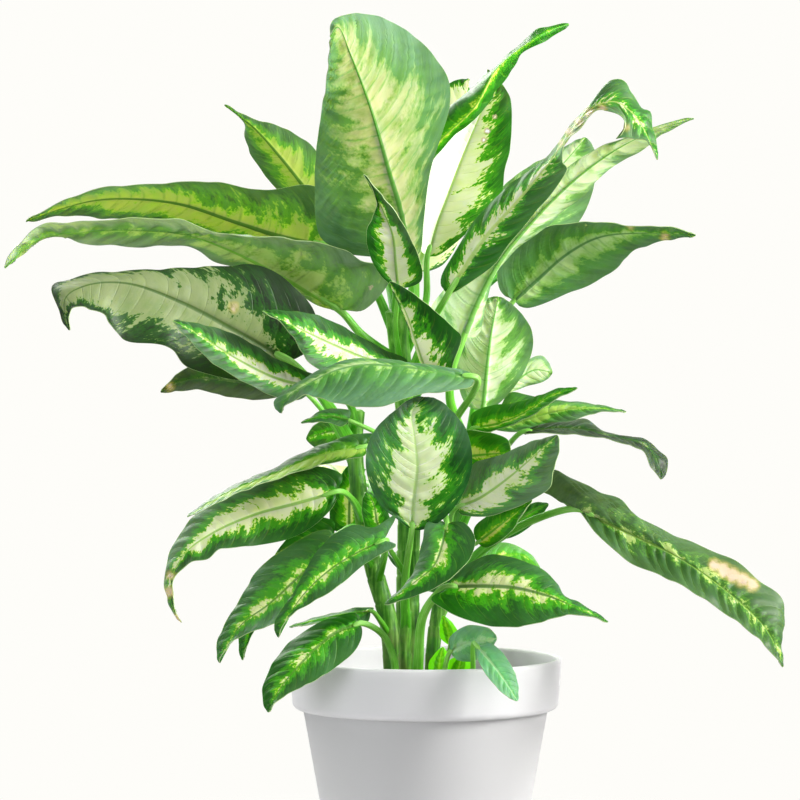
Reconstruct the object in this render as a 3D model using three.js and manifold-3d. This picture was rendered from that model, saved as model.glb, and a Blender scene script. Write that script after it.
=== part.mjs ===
// Potted dieffenbachia: a collared white pot filled with soil, in which four canes stand, each carrying
// stalked leaves with a midrib, a folded and cupped blade, waved margins and a drawn-out tip.
// Millimetres, +Z up. The origin is the centre of the pot's underside. Seen from the front, +X is to the
// right and +Y is away from the viewer.
import * as THREE from "three";
import { mergeVertices } from "three/addons/utils/BufferGeometryUtils.js";
import Module from "manifold-3d";

const wasm = await Module();
wasm.setup();

// ---------------------------------------------------------------- driving dimensions
const POT_HEIGHT = 180;
const RIM_RADIUS = 100; // outside of the collar, at the top
const COLLAR_BASE_RADIUS = 97.8;
const COLLAR_HEIGHT = 37;
const COLLAR_ROUND = 5; // radius of the collar's lower edge
const BODY_TOP_RADIUS = 90; // just under the collar
const BODY_FOOT_RADIUS = 64;
const FOOT_ROUND = 3;
const WALL = 4;
const FLOOR = 4;
const POT_SIDES = 44;

const SOIL_TOP = 149;
const SOIL_CROWN = 3; // how much higher the soil lies in the middle
const CLEARANCE = 0.4; // between pieces that touch on the real plant
const CANE_SIDES = 9;
const CANE_ROWS = 10;
const CANE_ROOT = 55; // how far a cane goes down into the soil

const BLADE_THICKNESS = 1;
const BLADE_ENDS = [0.015, 0.985]; // where the blade is cut square, as shares of the midrib
const TIP_HALF_WIDTH = 0.4;
const KEEL = 0.8; // how far the midrib stands out at the blade's base, in stalk radii
const MARGIN_BEND = 1.3; // a half blade bends back faster towards its margin
const SWELL = 0.6; // how soon bend and waves set in behind the base and the tip
const WAVE_PHASES = [0.6, 0.25]; // of the left and the right margin, in waves
const ROW_LENGTH = 24; // along the midrib
const ROWS = [4, 10]; // fewest and most along a blade
const WIDE = 42; // a blade wider than this has three columns a side
const NARROW = 14; // and one no wider than this has a single one
const STALK_FLARE = [1.5, 0.7]; // at its foot and where it becomes the midrib, in stalk radii
const STALK_SIDES = 5;
const STALK_ROWS = 3;
const STALK_ROOT = 20; // how far a stalk that grows from the soil goes down into it
const STALK_REACH = 0.07; // how far a stalk runs on under its blade, as a share of the midrib

// The front view's eye. A point of the tables below is given as [x, z, depth]: where it shows in the
// plane of the pot's axis, and how far behind that plane it lies, so it is slid along its line of sight.
const EYE = new THREE.Vector3(-18.7, -2110, 369);

function seen([x, z, depth]) {
  const flat = new THREE.Vector3(x, 0, z);
  return flat.sub(EYE).multiplyScalar((depth - EYE.y) / -EYE.y).add(EYE);
}

// ---------------------------------------------------------------- canes
// A cane: points of its centre line [x, z, depth] from the soil up, and its radius there and at the top.
const CANES = {
  tall: {
    line: [[-12, 149, 18], [-13, 220, 20], [-12, 300, 24], [-14, 360, 20], [-19, 405, 14], [-22, 436, 8]],
    radius: [9.5, 8],
  },
  left: {
    line: [[-23, 149, -3], [-27, 205, -4], [-38, 245, -2], [-47, 290, 0], [-52, 335, 4], [-50, 362, 6]],
    radius: [8, 6],
  },
  front: {
    line: [[-15, 149, -30], [-15, 185, -32], [-14, 215, -36]],
    radius: [5.5, 4.5],
  },
  right: {
    line: [[4, 149, -8], [6, 190, -8], [11, 220, -4], [21, 262, 4], [29, 300, 10], [31, 345, 14]],
    radius: [5, 6.5],
  },
};

// ---------------------------------------------------------------- leaves
// from: the cane and the height on it where the stalk leaves, or "soil" and the spot [x, depth].
// stalk: its radius. via: points [x, z, depth] that the stalk passes. rib: the midrib, from the blade's
// base to its tip. left and right: the margins as seen, [x, z], from base to tip. lean: how far the left
// and right half bend back from the midrib. wave: the margin's wave height and its number of waves.
// shows: the side of the blade that the front view shows, its top or its under side.
const LEAVES = {
  leaf_01: {
    from: ["tall", 425], stalk: 3.6, via: [[-20, 450, -2]], lean: [20, 20], wave: [2.5, 2.5], shows: "under",
    rib: [[-14, 474, -8], [-18, 505, -20], [-28, 540, -32], [-40, 582, -50], [-55, 622, -74],
      [-65, 643, -94], [-71, 633, -102]],
    left: [[-45, 475], [-60, 478], [-75, 487], [-80, 500], [-81, 525], [-80, 550], [-77, 575], [-72, 605],
      [-71, 622]],
    right: [[-4, 480], [0, 520], [4, 542], [11, 562], [17, 582], [17, 601], [10, 616], [-6, 634], [-30, 649],
      [-52, 653], [-67, 648]],
  },
  leaf_02: {
    from: ["tall", 420], stalk: 2.6, via: [[-10, 456, 34]], lean: [8, 4], wave: [1.5, 3], shows: "top",
    rib: [[-24, 490, 26], [-13, 526, 22], [2, 551, 18], [16, 565.5, 16], [27, 575, 16], [38, 587, 17],
      [45, 600, 21], [50, 609.5, 27], [60, 620, 40], [74, 630, 60], [90, 640, 80], [108, 646, 96]],
    left: [[-34, 510], [-22, 540], [-2, 566], [17, 584], [26, 590], [35, 599], [44, 607], [53, 615],
      [65, 626], [83, 641]],
    right: [[-16, 502], [-7, 524], [8, 549], [20, 563], [31, 571], [43, 584], [49, 591], [52, 598],
      [60, 606], [64, 613], [71, 624], [91, 635]],
  },
  leaf_03: {
    from: ["tall", 396], stalk: 2.8, via: [[0, 440, 18]], lean: [14, -4], wave: [2, 2.5], shows: "top",
    rib: [[1, 473, 28], [8, 498, 32], [15, 516, 35], [27, 547, 40], [40, 578, 45], [48, 598, 50],
      [45, 614, 52]],
    left: [[-6, 488], [-6, 514], [0, 545], [13, 571], [30, 588], [42, 604]],
    right: [[12, 477], [28, 490], [45, 506], [55, 516], [58, 539], [62, 555], [63, 584], [59, 597]],
  },
  leaf_04: {
    from: ["tall", 428], stalk: 2.4, via: [[-34, 470, 44]], lean: [18, 6], wave: [2, 2], shows: "under",
    rib: [[-68, 500, 50], [-88, 524, 56], [-108, 549, 62], [-125, 568, 68], [-149, 587, 76]],
    left: [[-85, 503], [-107, 522], [-117, 534], [-127, 548], [-132, 562], [-134, 575]],
    right: [[-66, 522], [-80, 551], [-96, 564], [-111, 571], [-129, 576]],
  },
  leaf_05: {
    from: ["tall", 410], stalk: 3, via: [[-44, 462, 16]], lean: [26, -10], wave: [2, 3], shows: "under",
    rib: [[-68, 482, 22], [-105, 489, 24], [-140, 500, 26], [-180, 513, 28], [-215, 517, 29],
      [-242, 516, 30], [-270, 509, 31], [-297, 499, 32]],
    left: [[-80, 474], [-110, 476], [-145, 486], [-190, 499], [-238, 503], [-265, 505]],
    right: [[-62, 505], [-82, 526], [-120, 523], [-158, 529], [-205, 527], [-240, 524], [-268, 514]],
  },
  leaf_06: {
    from: ["tall", 395], stalk: 3.2, via: [[-46, 416, 0]], lean: [18, -18], wave: [3, 3.5], shows: "under",
    rib: [[-62, 434, -10], [-100, 457, -16], [-140, 478, -22], [-175, 491, -28], [-206, 494, -32],
      [-250, 493, -38], [-285, 487, -44], [-312, 463, -50]],
    left: [[-80, 440], [-110, 456], [-135, 466], [-156, 472], [-176, 483], [-205, 482], [-230, 483],
      [-253, 485], [-273, 490], [-292, 480]],
    right: [[-45, 435], [-28, 453], [-26, 467], [-46, 470], [-62, 480], [-99, 487], [-126, 489], [-152, 491],
      [-180, 501], [-220, 502], [-259, 499], [-280, 498], [-300, 482]],
  },
  leaf_07: {
    from: ["left", 332], stalk: 3.9, via: [[-72, 366, -18]], lean: [-8, 22], wave: [3, 2.5], shows: "top",
    rib: [[-98, 396, -44], [-140, 420, -58], [-180, 441, -72], [-220, 455, -86], [-250, 453, -98],
      [-265, 443, -106], [-261, 417, -112]],
    left: [[-110, 386], [-125, 383], [-150, 386], [-175, 394], [-190, 409], [-217, 412], [-228, 420],
      [-238, 433], [-260, 437]],
    right: [[-80, 412], [-82, 434], [-97, 452], [-120, 467], [-150, 467], [-205, 464], [-240, 462],
      [-263, 457], [-274, 451], [-268, 432]],
  },
  leaf_08: {
    from: ["left", 312], stalk: 2.2, via: [[-66, 348, 10]], lean: [14, -6], wave: [2, 2], shows: "under",
    rib: [[-93, 378, -2], [-130, 382, -10], [-165, 385, -16], [-182, 382, -19], [-196, 374, -20]],
    left: [[-110, 371], [-130, 370], [-150, 373], [-165, 377], [-182, 376]],
    right: [[-95, 390], [-130, 396], [-160, 396], [-178, 391]],
  },
  leaf_09: {
    from: ["left", 350], stalk: 2.4, via: [[-58, 368, -44]], lean: [-8, 12], wave: [2, 2], shows: "top",
    rib: [[-82, 378, -76], [-112, 386, -88], [-140, 400, -98], [-165, 416, -108], [-187, 428, -116]],
    left: [[-92, 370], [-108, 371], [-126, 379], [-146, 390], [-159, 399], [-173, 413]],
    right: [[-80, 386], [-91, 391], [-112, 400], [-126, 409], [-146, 419], [-169, 425]],
  },
  leaf_10: {
    from: ["tall", 345], stalk: 2.6, via: [[-12, 374, -30]], lean: [-8, 16], wave: [2, 2], shows: "top",
    rib: [[-17, 391, -58], [-45, 400, -70], [-75, 413, -86], [-100, 425, -100], [-121, 435, -112]],
    left: [[-30, 384], [-60, 384], [-84, 396], [-96, 414], [-107, 427]],
    right: [[-14, 398], [-29, 405], [-46, 414], [-60, 422], [-80, 431], [-101, 434]],
  },
  leaf_11: {
    from: ["tall", 318], stalk: 3, via: [[24, 358, -56]], lean: [-18, 10], wave: [3, 2.5], shows: "top",
    rib: [[38, 385, -92], [22, 388, -97], [5, 391, -104], [-20, 394, -112], [-45, 395, -120],
      [-65, 391, -126], [-84, 382, -131], [-101, 371, -135], [-107, 357, -138]],
    left: [[33, 379], [24, 377], [12, 375], [2, 375], [-6, 373], [-16, 370], [-27, 366], [-44, 364],
      [-65, 367], [-79, 371], [-88, 373], [-99, 368], [-104, 364]],
    right: [[31, 389], [20, 392], [8, 394], [-6, 395], [-16, 397], [-27, 398], [-44, 399], [-62, 397],
      [-74, 392], [-88, 385], [-101, 376], [-111, 368]],
  },
  leaf_12: {
    from: ["tall", 390], stalk: 2, via: [[-22, 424, -14]], lean: [-4, -4], wave: [1.5, 2], shows: "top",
    rib: [[-20, 450, -30], [-22, 470, -38], [-24, 490, -46], [-31, 508, -52], [-38, 522, -58],
      [-46, 536, -64]],
    left: [[-32, 460], [-40, 474], [-43, 492], [-37, 507], [-36, 517], [-41, 528]],
    right: [[-4, 456], [-4, 470], [-11, 487], [-21, 505], [-33, 520]],
  },
  leaf_13: {
    from: ["tall", 360], stalk: 2.4, via: [[2, 384, -24]], lean: [16, -4], wave: [2, 2], shows: "top",
    rib: [[6, 378, -64], [-2, 396, -68], [-8, 414, -71], [-14, 432, -74], [-27, 457, -78]],
    left: [[0, 390], [-7, 408], [-15, 430], [-21, 443]],
    right: [[16, 382], [20, 396], [26, 414], [20, 422], [6, 435], [-12, 449]],
  },
  leaf_14: {
    from: ["tall", 375], stalk: 3, via: [[2, 420, -10]], lean: [14, -8], wave: [1.5, 3], shows: "top",
    rib: [[15, 444, -34], [42, 486, -42], [70, 518, -48], [92, 545, -52], [104, 561, -54], [115, 577, -56],
      [127, 586, -58], [140, 588, -60], [152, 580, -62], [160, 569, -63], [166, 556, -65], [172, 542, -66]],
    left: [[12, 458], [22, 478], [34, 497], [50, 516], [70, 533], [89, 546], [95, 554], [101, 563],
      [108, 572], [117, 581], [124, 589], [133, 601], [142, 604], [148, 601], [151, 595], [158, 583],
      [165, 580], [167, 567], [169, 557]],
    right: [[33, 456], [50, 469], [63, 486], [77, 503], [93, 522], [104, 538], [100, 544], [102, 557],
      [107, 563], [114, 570], [120, 577], [127, 582], [136, 581], [143, 579], [147, 575], [147, 569],
      [143, 563], [140, 561], [150, 562], [161, 560], [166, 556], [169, 550]],
  },
  leaf_15: {
    from: ["right", 335], stalk: 3.2, via: [[18, 370, -12], [20, 392, -16]], lean: [-4, 14], wave: [3, 4],
    rib: [[27, 412, -14], [38, 440, -12], [55, 472, -12], [78, 500, -12], [105, 527, -14], [135, 550, -16],
      [165, 566, -22], [201, 577, -28]],
    left: [[14, 422], [4, 434], [14, 450], [45, 482], [75, 512], [100, 536], [122, 551], [150, 563],
      [180, 573]],
    right: [[40, 420], [46, 449], [60, 474], [80, 490], [100, 507], [119, 523], [134, 539], [154, 550],
      [178, 567]],
    shows: "under",
  },
  leaf_16: {
    from: ["right", 332], stalk: 2.6, via: [[44, 400, 24]], lean: [-6, 18], wave: [3, 2.5], shows: "under",
    rib: [[64, 441, 26], [84, 459, 22], [105, 477, 14], [128, 489, 6], [160, 492, -4], [201, 490, -14]],
    left: [[55, 450], [54, 466], [67, 481], [84, 494], [110, 499], [134, 499], [155, 496], [178, 496]],
    right: [[76, 437], [100, 446], [122, 455], [140, 466], [150, 477], [160, 482], [178, 487]],
  },
  leaf_17: {
    from: ["tall", 380], stalk: 2.2, via: [[14, 420, 36]], lean: [8, -2], wave: [2, 2], shows: "top",
    rib: [[50, 474, 44], [70, 504, 50], [90, 530, 56], [106, 548, 60], [119, 563, 64]],
    left: [[42, 492], [56, 523], [66, 533], [79, 542], [89, 547], [106, 557]],
    right: [[70, 474], [97, 488], [113, 501], [123, 524], [125, 548], [122, 557]],
  },
  leaf_18: {
    from: ["right", 325], stalk: 2.6, via: [[38, 348, 8]], lean: [5, 6], wave: [2, 2], shows: "under",
    rib: [[42, 361, 0], [44, 380, -2], [46, 400, -2], [49, 422, 2], [54, 446, 8]],
    left: [[30, 366], [24, 385], [25, 410], [36, 438]],
    right: [[55, 368], [70, 386], [78, 406], [77, 422], [66, 437]],
  },
  leaf_19: {
    from: ["right", 315], stalk: 2, via: [[44, 350, 34]], lean: [4, 4], wave: [1.5, 2], shows: "top",
    rib: [[52, 371, 40], [68, 384, 42], [80, 391, 44], [94, 389, 46]],
    left: [[58, 382], [72, 396], [86, 401]],
    right: [[62, 375], [76, 380], [87, 383]],
  },
  leaf_20: {
    from: ["front", 205], stalk: 2.8, via: [[-15, 235, -52]], lean: [-5, 6], wave: [2.5, 2.5], shows: "top",
    rib: [[-10, 273, -84], [-8, 300, -96], [-6, 320, -102], [-8, 342, -102], [-10, 360, -96], [0, 372, -88]],
    left: [[-20, 281], [-33, 292], [-42, 312], [-43, 332], [-36, 348], [-24, 360], [-10, 370]],
    right: [[4, 276], [18, 287], [30, 306], [34, 326], [30, 346], [20, 360], [10, 369]],
  },
  leaf_21: {
    from: ["right", 294], stalk: 2, via: [[24, 314, -22]], lean: [-3, 3], wave: [1, 2], shows: "top",
    rib: [[26, 327, -50], [44, 329, -58], [63, 330, -64]],
    left: [[26, 345], [45, 345], [60, 340]],
    right: [[34, 322], [48, 318], [58, 320]],
  },
  leaf_22: {
    from: ["right", 255], stalk: 2.2, via: [[18, 276, -34]], lean: [10, -10], wave: [2, 2], shows: "top",
    rib: [[23, 290, -76], [40, 297, -80], [60, 311, -86], [80, 328, -92], [98, 344, -98]],
    left: [[26, 306], [36, 322], [55, 328], [78, 338], [90, 341]],
    right: [[27, 285], [45, 284], [60, 288], [78, 296], [91, 305], [94, 318], [98, 332]],
  },
  leaf_23: {
    from: ["right", 305], stalk: 2, via: [[33, 332, -12]], lean: [8, -6], wave: [1, 2], shows: "top",
    rib: [[34, 348, -26], [55, 352, -32], [74, 360, -40], [92, 372, -48], [113, 378, -54]],
    left: [[34, 358], [46, 364], [68, 367], [84, 372], [98, 377]],
    right: [[46, 346], [60, 350], [78, 358], [96, 370]],
  },
  leaf_24: {
    from: ["right", 295], stalk: 2.2, via: [[44, 328, 8]], lean: [14, -8], wave: [2, 2.5], shows: "top",
    rib: [[48, 348, 2], [66, 352, -2], [90, 359, -6], [116, 363, -10], [149, 360, -16]],
    left: [[54, 360], [60, 372], [68, 374], [88, 369], [112, 367], [132, 364]],
    right: [[62, 346], [84, 349], [105, 353], [122, 359], [135, 361]],
  },
  leaf_25: {
    from: ["right", 264], stalk: 2.4, via: [[44, 310, -16]], lean: [14, -14], wave: [2, 2], shows: "top",
    rib: [[70, 345, -40], [90, 348, -46], [112, 348, -52], [135, 343, -58], [158, 337, -66], [169, 327, -70],
      [174, 309, -74]],
    left: [[84, 350], [105, 353], [119, 354], [132, 345], [148, 342], [163, 339], [171, 331], [178, 324]],
    right: [[84, 345], [110, 344], [133, 341], [150, 336], [160, 332], [165, 322]],
  },
  leaf_26: {
    from: ["right", 225], stalk: 3.2, via: [[40, 257, -10], [80, 281, -36]], lean: [24, -16], wave: [3.5, 3],
    rib: [[112, 289, -50], [150, 271, -60], [190, 251, -70], [229, 222, -80], [252, 198, -86],
      [264, 170, -88]],
    left: [[92, 298], [82, 306], [93, 317], [108, 311], [128, 301], [142, 296], [154, 284], [174, 273],
      [200, 262], [228, 250], [245, 236], [262, 222], [263, 204], [261, 187]],
    right: [[118, 282], [127, 270], [141, 257], [156, 247], [174, 240], [194, 230], [214, 217], [234, 203],
      [248, 191], [259, 178]],
    shows: "top",
  },
  leaf_27: {
    from: ["right", 247], stalk: 2, via: [[28, 260, -36]], lean: [6, -4], wave: [1.5, 2], shows: "top",
    rib: [[38, 264, -62], [56, 278, -68], [79, 296, -76]],
    left: [[36, 274], [45, 283], [60, 290]],
    right: [[46, 261], [62, 272], [70, 284]],
  },
  leaf_28: {
    from: ["soil", [-6, -42]], stalk: 3.6, via: [[-5, 178, -52], [-1, 212, -66]], lean: [16, -12],
    wave: [2.5, 2.5], shows: "top",
    rib: [[15, 231, -80], [40, 232, -88], [65, 231, -96], [90, 225, -104], [112, 216, -110],
      [136, 205, -114]],
    left: [[18, 240], [35, 250], [50, 255], [66, 252], [82, 246], [94, 237], [102, 225], [116, 218]],
    right: [[4, 223], [15, 215], [30, 208], [50, 203], [70, 203], [88, 207], [102, 211], [118, 211]],
  },
  leaf_29: {
    from: ["right", 212], stalk: 2, via: [[24, 232, 22]], lean: [4, 2], wave: [1.5, 2], shows: "top",
    rib: [[40, 244, 34], [56, 254, 42], [72, 255, 48], [85, 243, 52]],
    left: [[44, 257], [56, 264], [70, 260], [80, 252]],
    right: [[52, 242], [66, 244], [78, 242]],
  },
  leaf_30: {
    from: ["right", 265], stalk: 2, via: [[12, 290, -44], [13, 290, -72]], lean: [-6, 10], wave: [2, 2],
    rib: [[16, 279, -88], [12, 262, -96], [6, 247, -102], [-8, 235, -106], [-31, 218, -110]],
    left: [[28, 279], [36, 268], [34, 256], [26, 245], [12, 234], [-6, 226]],
    right: [[2, 279], [-2, 264], [-6, 248], [-14, 234]],
    shows: "top",
  },
  leaf_31: {
    from: ["tall", 296], stalk: 2.4, via: [[-26, 322, -30]], lean: [-12, 18], wave: [1.5, 2.5], shows: "top",
    rib: [[-42, 335, -58], [-62, 332, -68], [-85, 326, -78], [-110, 315, -88], [-145, 301, -100],
      [-177, 282, -108]],
    left: [[-46, 328], [-62, 325], [-82, 320], [-102, 314], [-138, 301], [-160, 290]],
    right: [[-38, 344], [-58, 342], [-80, 334], [-96, 327], [-110, 319], [-140, 306], [-162, 293]],
  },
  leaf_32: {
    from: ["left", 280], stalk: 2.4, via: [[-54, 296, -30]], lean: [-6, 14], wave: [2.5, 2], shows: "top",
    rib: [[-64, 302, -56], [-95, 293, -66], [-125, 285, -74], [-155, 272, -82], [-176, 257, -88],
      [-187, 236, -92], [-186, 218, -94], [-178, 203, -96]],
    left: [[-69, 290], [-85, 275], [-105, 266], [-130, 262], [-150, 260], [-160, 253], [-172, 250],
      [-184, 240], [-186, 226], [-183, 212]],
    right: [[-62, 314], [-80, 320], [-100, 318], [-125, 305], [-152, 298], [-172, 281], [-185, 262],
      [-191, 242], [-189, 222]],
  },
  leaf_33: {
    from: ["left", 245], stalk: 2.2, via: [[-50, 262, -28]], lean: [-8, 14], wave: [2.5, 2], shows: "top",
    rib: [[-66, 262, -62], [-90, 242, -72], [-115, 219, -82], [-136, 203, -88], [-152, 174, -92]],
    left: [[-68, 246], [-85, 226], [-105, 208], [-125, 200], [-140, 193], [-150, 182]],
    right: [[-70, 273], [-85, 270], [-105, 258], [-122, 245], [-135, 224], [-148, 202], [-153, 188]],
  },
  leaf_34: {
    from: ["left", 235], stalk: 2.2, via: [[-30, 256, -40]], lean: [-4, 8], wave: [2, 2], shows: "top",
    rib: [[-30, 266, -96], [-50, 257, -102], [-72, 243, -108], [-93, 222, -114], [-109, 193, -120]],
    left: [[-22, 262], [-43, 250], [-65, 232], [-83, 221], [-98, 212], [-105, 203]],
    right: [[-22, 284], [-38, 275], [-52, 277], [-68, 269], [-82, 254], [-92, 236], [-100, 222],
      [-110, 207]],
  },
  leaf_35: {
    from: ["left", 260], stalk: 2, via: [[-52, 276, -14]], lean: [-4, 6], wave: [2, 2], shows: "top",
    rib: [[-66, 270, -26], [-95, 254, -34], [-122, 218, -44], [-135, 176, -50]],
    left: [[-76, 255], [-100, 232], [-122, 205], [-131, 190]],
    right: [[-68, 280], [-82, 282], [-97, 272], [-120, 240], [-135, 205], [-137, 192]],
  },
  leaf_36: {
    from: ["soil", [-22, -50]], stalk: 2.8, via: [[-23, 176, -52], [-31, 196, -58]], lean: [-8, 14],
    rib: [[-47, 205, -72], [-68, 197, -84], [-92, 175, -96], [-108, 155, -102], [-116, 138, -106]],
    left: [[-47, 195], [-53, 184], [-66, 173], [-82, 163], [-98, 155], [-110, 147]],
    right: [[-52, 212], [-68, 209], [-85, 201], [-100, 190], [-112, 175], [-119, 158], [-119, 148]],
    wave: [2, 2], shows: "top",
  },
  leaf_37: {
    from: ["left", 195], stalk: 2, via: [[-34, 208, -20]], lean: [-8, 10], wave: [1, 2], shows: "under",
    rib: [[-40, 214, -34], [-60, 211, -44], [-80, 207, -52], [-101, 202, -60]],
    left: [[-44, 205], [-60, 206], [-80, 205]],
    right: [[-38, 216], [-50, 216], [-62, 213], [-80, 209]],
  },
  leaf_38: {
    from: ["left", 225], stalk: 2, via: [[-46, 258, 18]], lean: [-3, 3], wave: [1.5, 2], shows: "top",
    rib: [[-56, 272, 24], [-56, 290, 30], [-55, 306, 34], [-52, 324, 38]],
    left: [[-68, 274], [-70, 288], [-67, 303], [-59, 318]],
    right: [[-46, 276], [-45, 290], [-46, 306], [-48, 318]],
  },
  leaf_39: {
    from: ["tall", 235], stalk: 2, via: [[-24, 256, -10]], lean: [-3, 3], wave: [1.5, 2], shows: "top",
    rib: [[-32, 268, -30], [-36, 280, -36], [-38, 292, -42], [-44, 302, -46]],
    left: [[-42, 272], [-46, 284], [-46, 295]],
    right: [[-26, 276], [-28, 286], [-34, 297]],
  },
  leaf_40: {
    from: ["tall", 330], stalk: 2, via: [[-34, 344, -38]], lean: [-4, 8], wave: [1, 2], shows: "under",
    rib: [[-56, 354, -54], [-70, 357, -58], [-80, 356, -62], [-92, 352, -66]],
    left: [[-62, 350], [-72, 353], [-82, 353]],
    right: [[-56, 361], [-66, 362], [-76, 361], [-84, 356]],
  },
  leaf_41: {
    from: ["soil", [16, -52]], stalk: 2.2, via: [[14, 168, -60]], lean: [-4, 6], wave: [3, 2.5],
    shows: "top",
    rib: [[18, 184, -66], [30, 190, -72], [42, 192, -78], [53, 194, -84]],
    left: [[18, 194], [28, 202], [38, 203], [48, 200]],
    right: [[24, 178], [36, 178], [46, 184]],
  },
  leaf_42: {
    from: ["soil", [34, -62]], stalk: 2, via: [[35, 176, -78], [35, 190, -88]], lean: [6, -4], wave: [1, 2],
    rib: [[38, 188, -102], [50, 174, -112], [60, 160, -115], [68, 147, -116]],
    left: [[48, 190], [60, 178], [67, 163]],
    right: [[39, 178], [46, 166], [58, 153]],
    shows: "top",
  },
  leaf_43: {
    from: ["right", 232], stalk: 2, via: [[40, 256, 16]], lean: [4, 4], wave: [1, 2], shows: "under",
    rib: [[54, 268, 14], [68, 280, 12], [80, 288, 10], [91, 293, 8]],
    left: [[56, 277], [67, 287], [80, 293]],
    right: [[62, 268], [75, 275], [86, 286]],
  },
  leaf_44: {
    from: ["left", 300], stalk: 2, via: [[-52, 330, 26]], lean: [4, -4], wave: [2, 2], shows: "top",
    rib: [[-56, 344, 30], [-68, 346, 28], [-78, 344, 26], [-88, 340, 22]],
    left: [[-56, 336], [-68, 334], [-80, 334]],
    right: [[-56, 354], [-68, 355], [-79, 352], [-85, 346]],
  },
  sprout_01: {
    from: ["soil", [7, -44]], stalk: 2.2, via: [], lean: [4, 4], wave: [0.5, 1], shows: "top",
    rib: [[8, 162, -46], [10, 172, -48], [11, 180, -49], [13, 188, -50]],
    left: [[3, 168], [4, 178]],
    right: [[14, 168], [17, 178]],
  },
  sprout_02: {
    from: ["soil", [22, -28]], stalk: 2.2, via: [], lean: [4, 4], wave: [0.5, 1], shows: "top",
    rib: [[22, 160, -30], [23, 168, -32], [25, 174, -33], [27, 182, -34]],
    left: [[14, 166], [16, 176]],
    right: [[31, 166], [33, 176]],
  },
  sprout_03: {
    from: ["right", 178], stalk: 2, via: [[17, 184, -20]], lean: [4, 4], wave: [0.5, 1], shows: "top",
    rib: [[18, 189, -24], [17, 197, -26], [15, 204, -28], [13, 211, -30]],
    left: [[12, 194], [11, 203]],
    right: [[25, 193], [21, 203]],
  },
  back_01: {
    from: ["tall", 370], stalk: 3, via: [[0, 404, 60]], lean: [14, 14], wave: [3, 2.5], shows: "top",
    rib: [[4, 424, 90], [10, 440, 130], [14, 442, 170], [18, 424, 210], [20, 394, 232]],
    left: [[-14, 420], [-26, 432], [-26, 430], [-14, 414]],
    right: [[24, 420], [44, 430], [48, 426], [42, 408]],
  },
  back_02: {
    from: ["left", 292], stalk: 2.6, via: [[-39, 304, 30], [-46, 309, 50]], lean: [12, 12],
    wave: [3, 2.5], shows: "top",
    rib: [[-60, 312, 66], [-72, 322, 106], [-80, 316, 146], [-86, 292, 180]],
    left: [[-76, 308], [-98, 312], [-104, 300], [-98, 288]],
    right: [[-50, 310], [-44, 318], [-52, 310], [-70, 296]],
  },
  back_03: {
    from: ["right", 288], stalk: 2.6, via: [[38, 308, 46]], lean: [12, 12], wave: [3, 2.5], shows: "top",
    rib: [[46, 320, 74], [56, 330, 114], [62, 322, 156], [66, 298, 190]],
    left: [[34, 318], [26, 326], [32, 318], [50, 302]],
    right: [[60, 318], [84, 320], [88, 310], [80, 298]],
  },
  back_04: {
    from: ["tall", 215], stalk: 2.6, via: [[-10, 240, 50]], lean: [12, 12], wave: [3, 2.5], shows: "top",
    rib: [[-6, 252, 76], [2, 262, 112], [8, 254, 150], [12, 228, 180]],
    left: [[-20, 250], [-28, 256], [-22, 246], [-4, 230]],
    right: [[8, 250], [30, 254], [34, 244], [26, 230]],
  },
  back_05: {
    from: ["right", 205], stalk: 2.4, via: [[18, 220, 36]], lean: [12, 12], wave: [3, 2.5], shows: "top",
    rib: [[28, 231, 62], [40, 238, 96], [50, 231, 130], [56, 212, 158]],
    left: [[18, 230], [22, 236], [30, 230], [44, 214]],
    right: [[42, 230], [62, 234], [72, 226], [68, 212]],
  },
  back_06: {
    from: ["tall", 408], stalk: 2.8, via: [[-8, 432, 46]], lean: [14, 10], wave: [2.5, 2.5], shows: "top",
    rib: [[-6, 462, 78], [4, 500, 100], [14, 542, 120], [24, 578, 134], [33, 607, 142]],
    left: [[-24, 474], [-32, 505], [-26, 545], [-2, 588], [17, 601], [28, 605]],
    right: [[14, 470], [30, 500], [38, 540], [38, 575], [32, 597], [31, 601]],
  },
  back_07: {
    from: ["tall", 356], stalk: 2.6, via: [[2, 392, 70]], lean: [12, 14], wave: [2, 2], shows: "top",
    rib: [[26, 444, 96], [50, 474, 126], [76, 502, 150], [98, 524, 166], [116, 541, 174]],
    left: [[24, 460], [42, 488], [66, 514], [92, 532]],
    right: [[44, 450], [68, 472], [92, 500], [109, 524]],
  },
};

// ---------------------------------------------------------------- shapes
function smooth(points) {
  return new THREE.CatmullRomCurve3(points, false, "centripetal");
}

function solid(geometry) {
  geometry.deleteAttribute("normal");
  geometry.deleteAttribute("uv");
  const merged = mergeVertices(geometry, 1e-4);
  const vertProperties = new Float32Array(merged.attributes.position.array);
  const triVerts = new Uint32Array(merged.index.array);
  return new wasm.Manifold(new wasm.Mesh({ numProp: 3, vertProperties, triVerts }));
}

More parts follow.
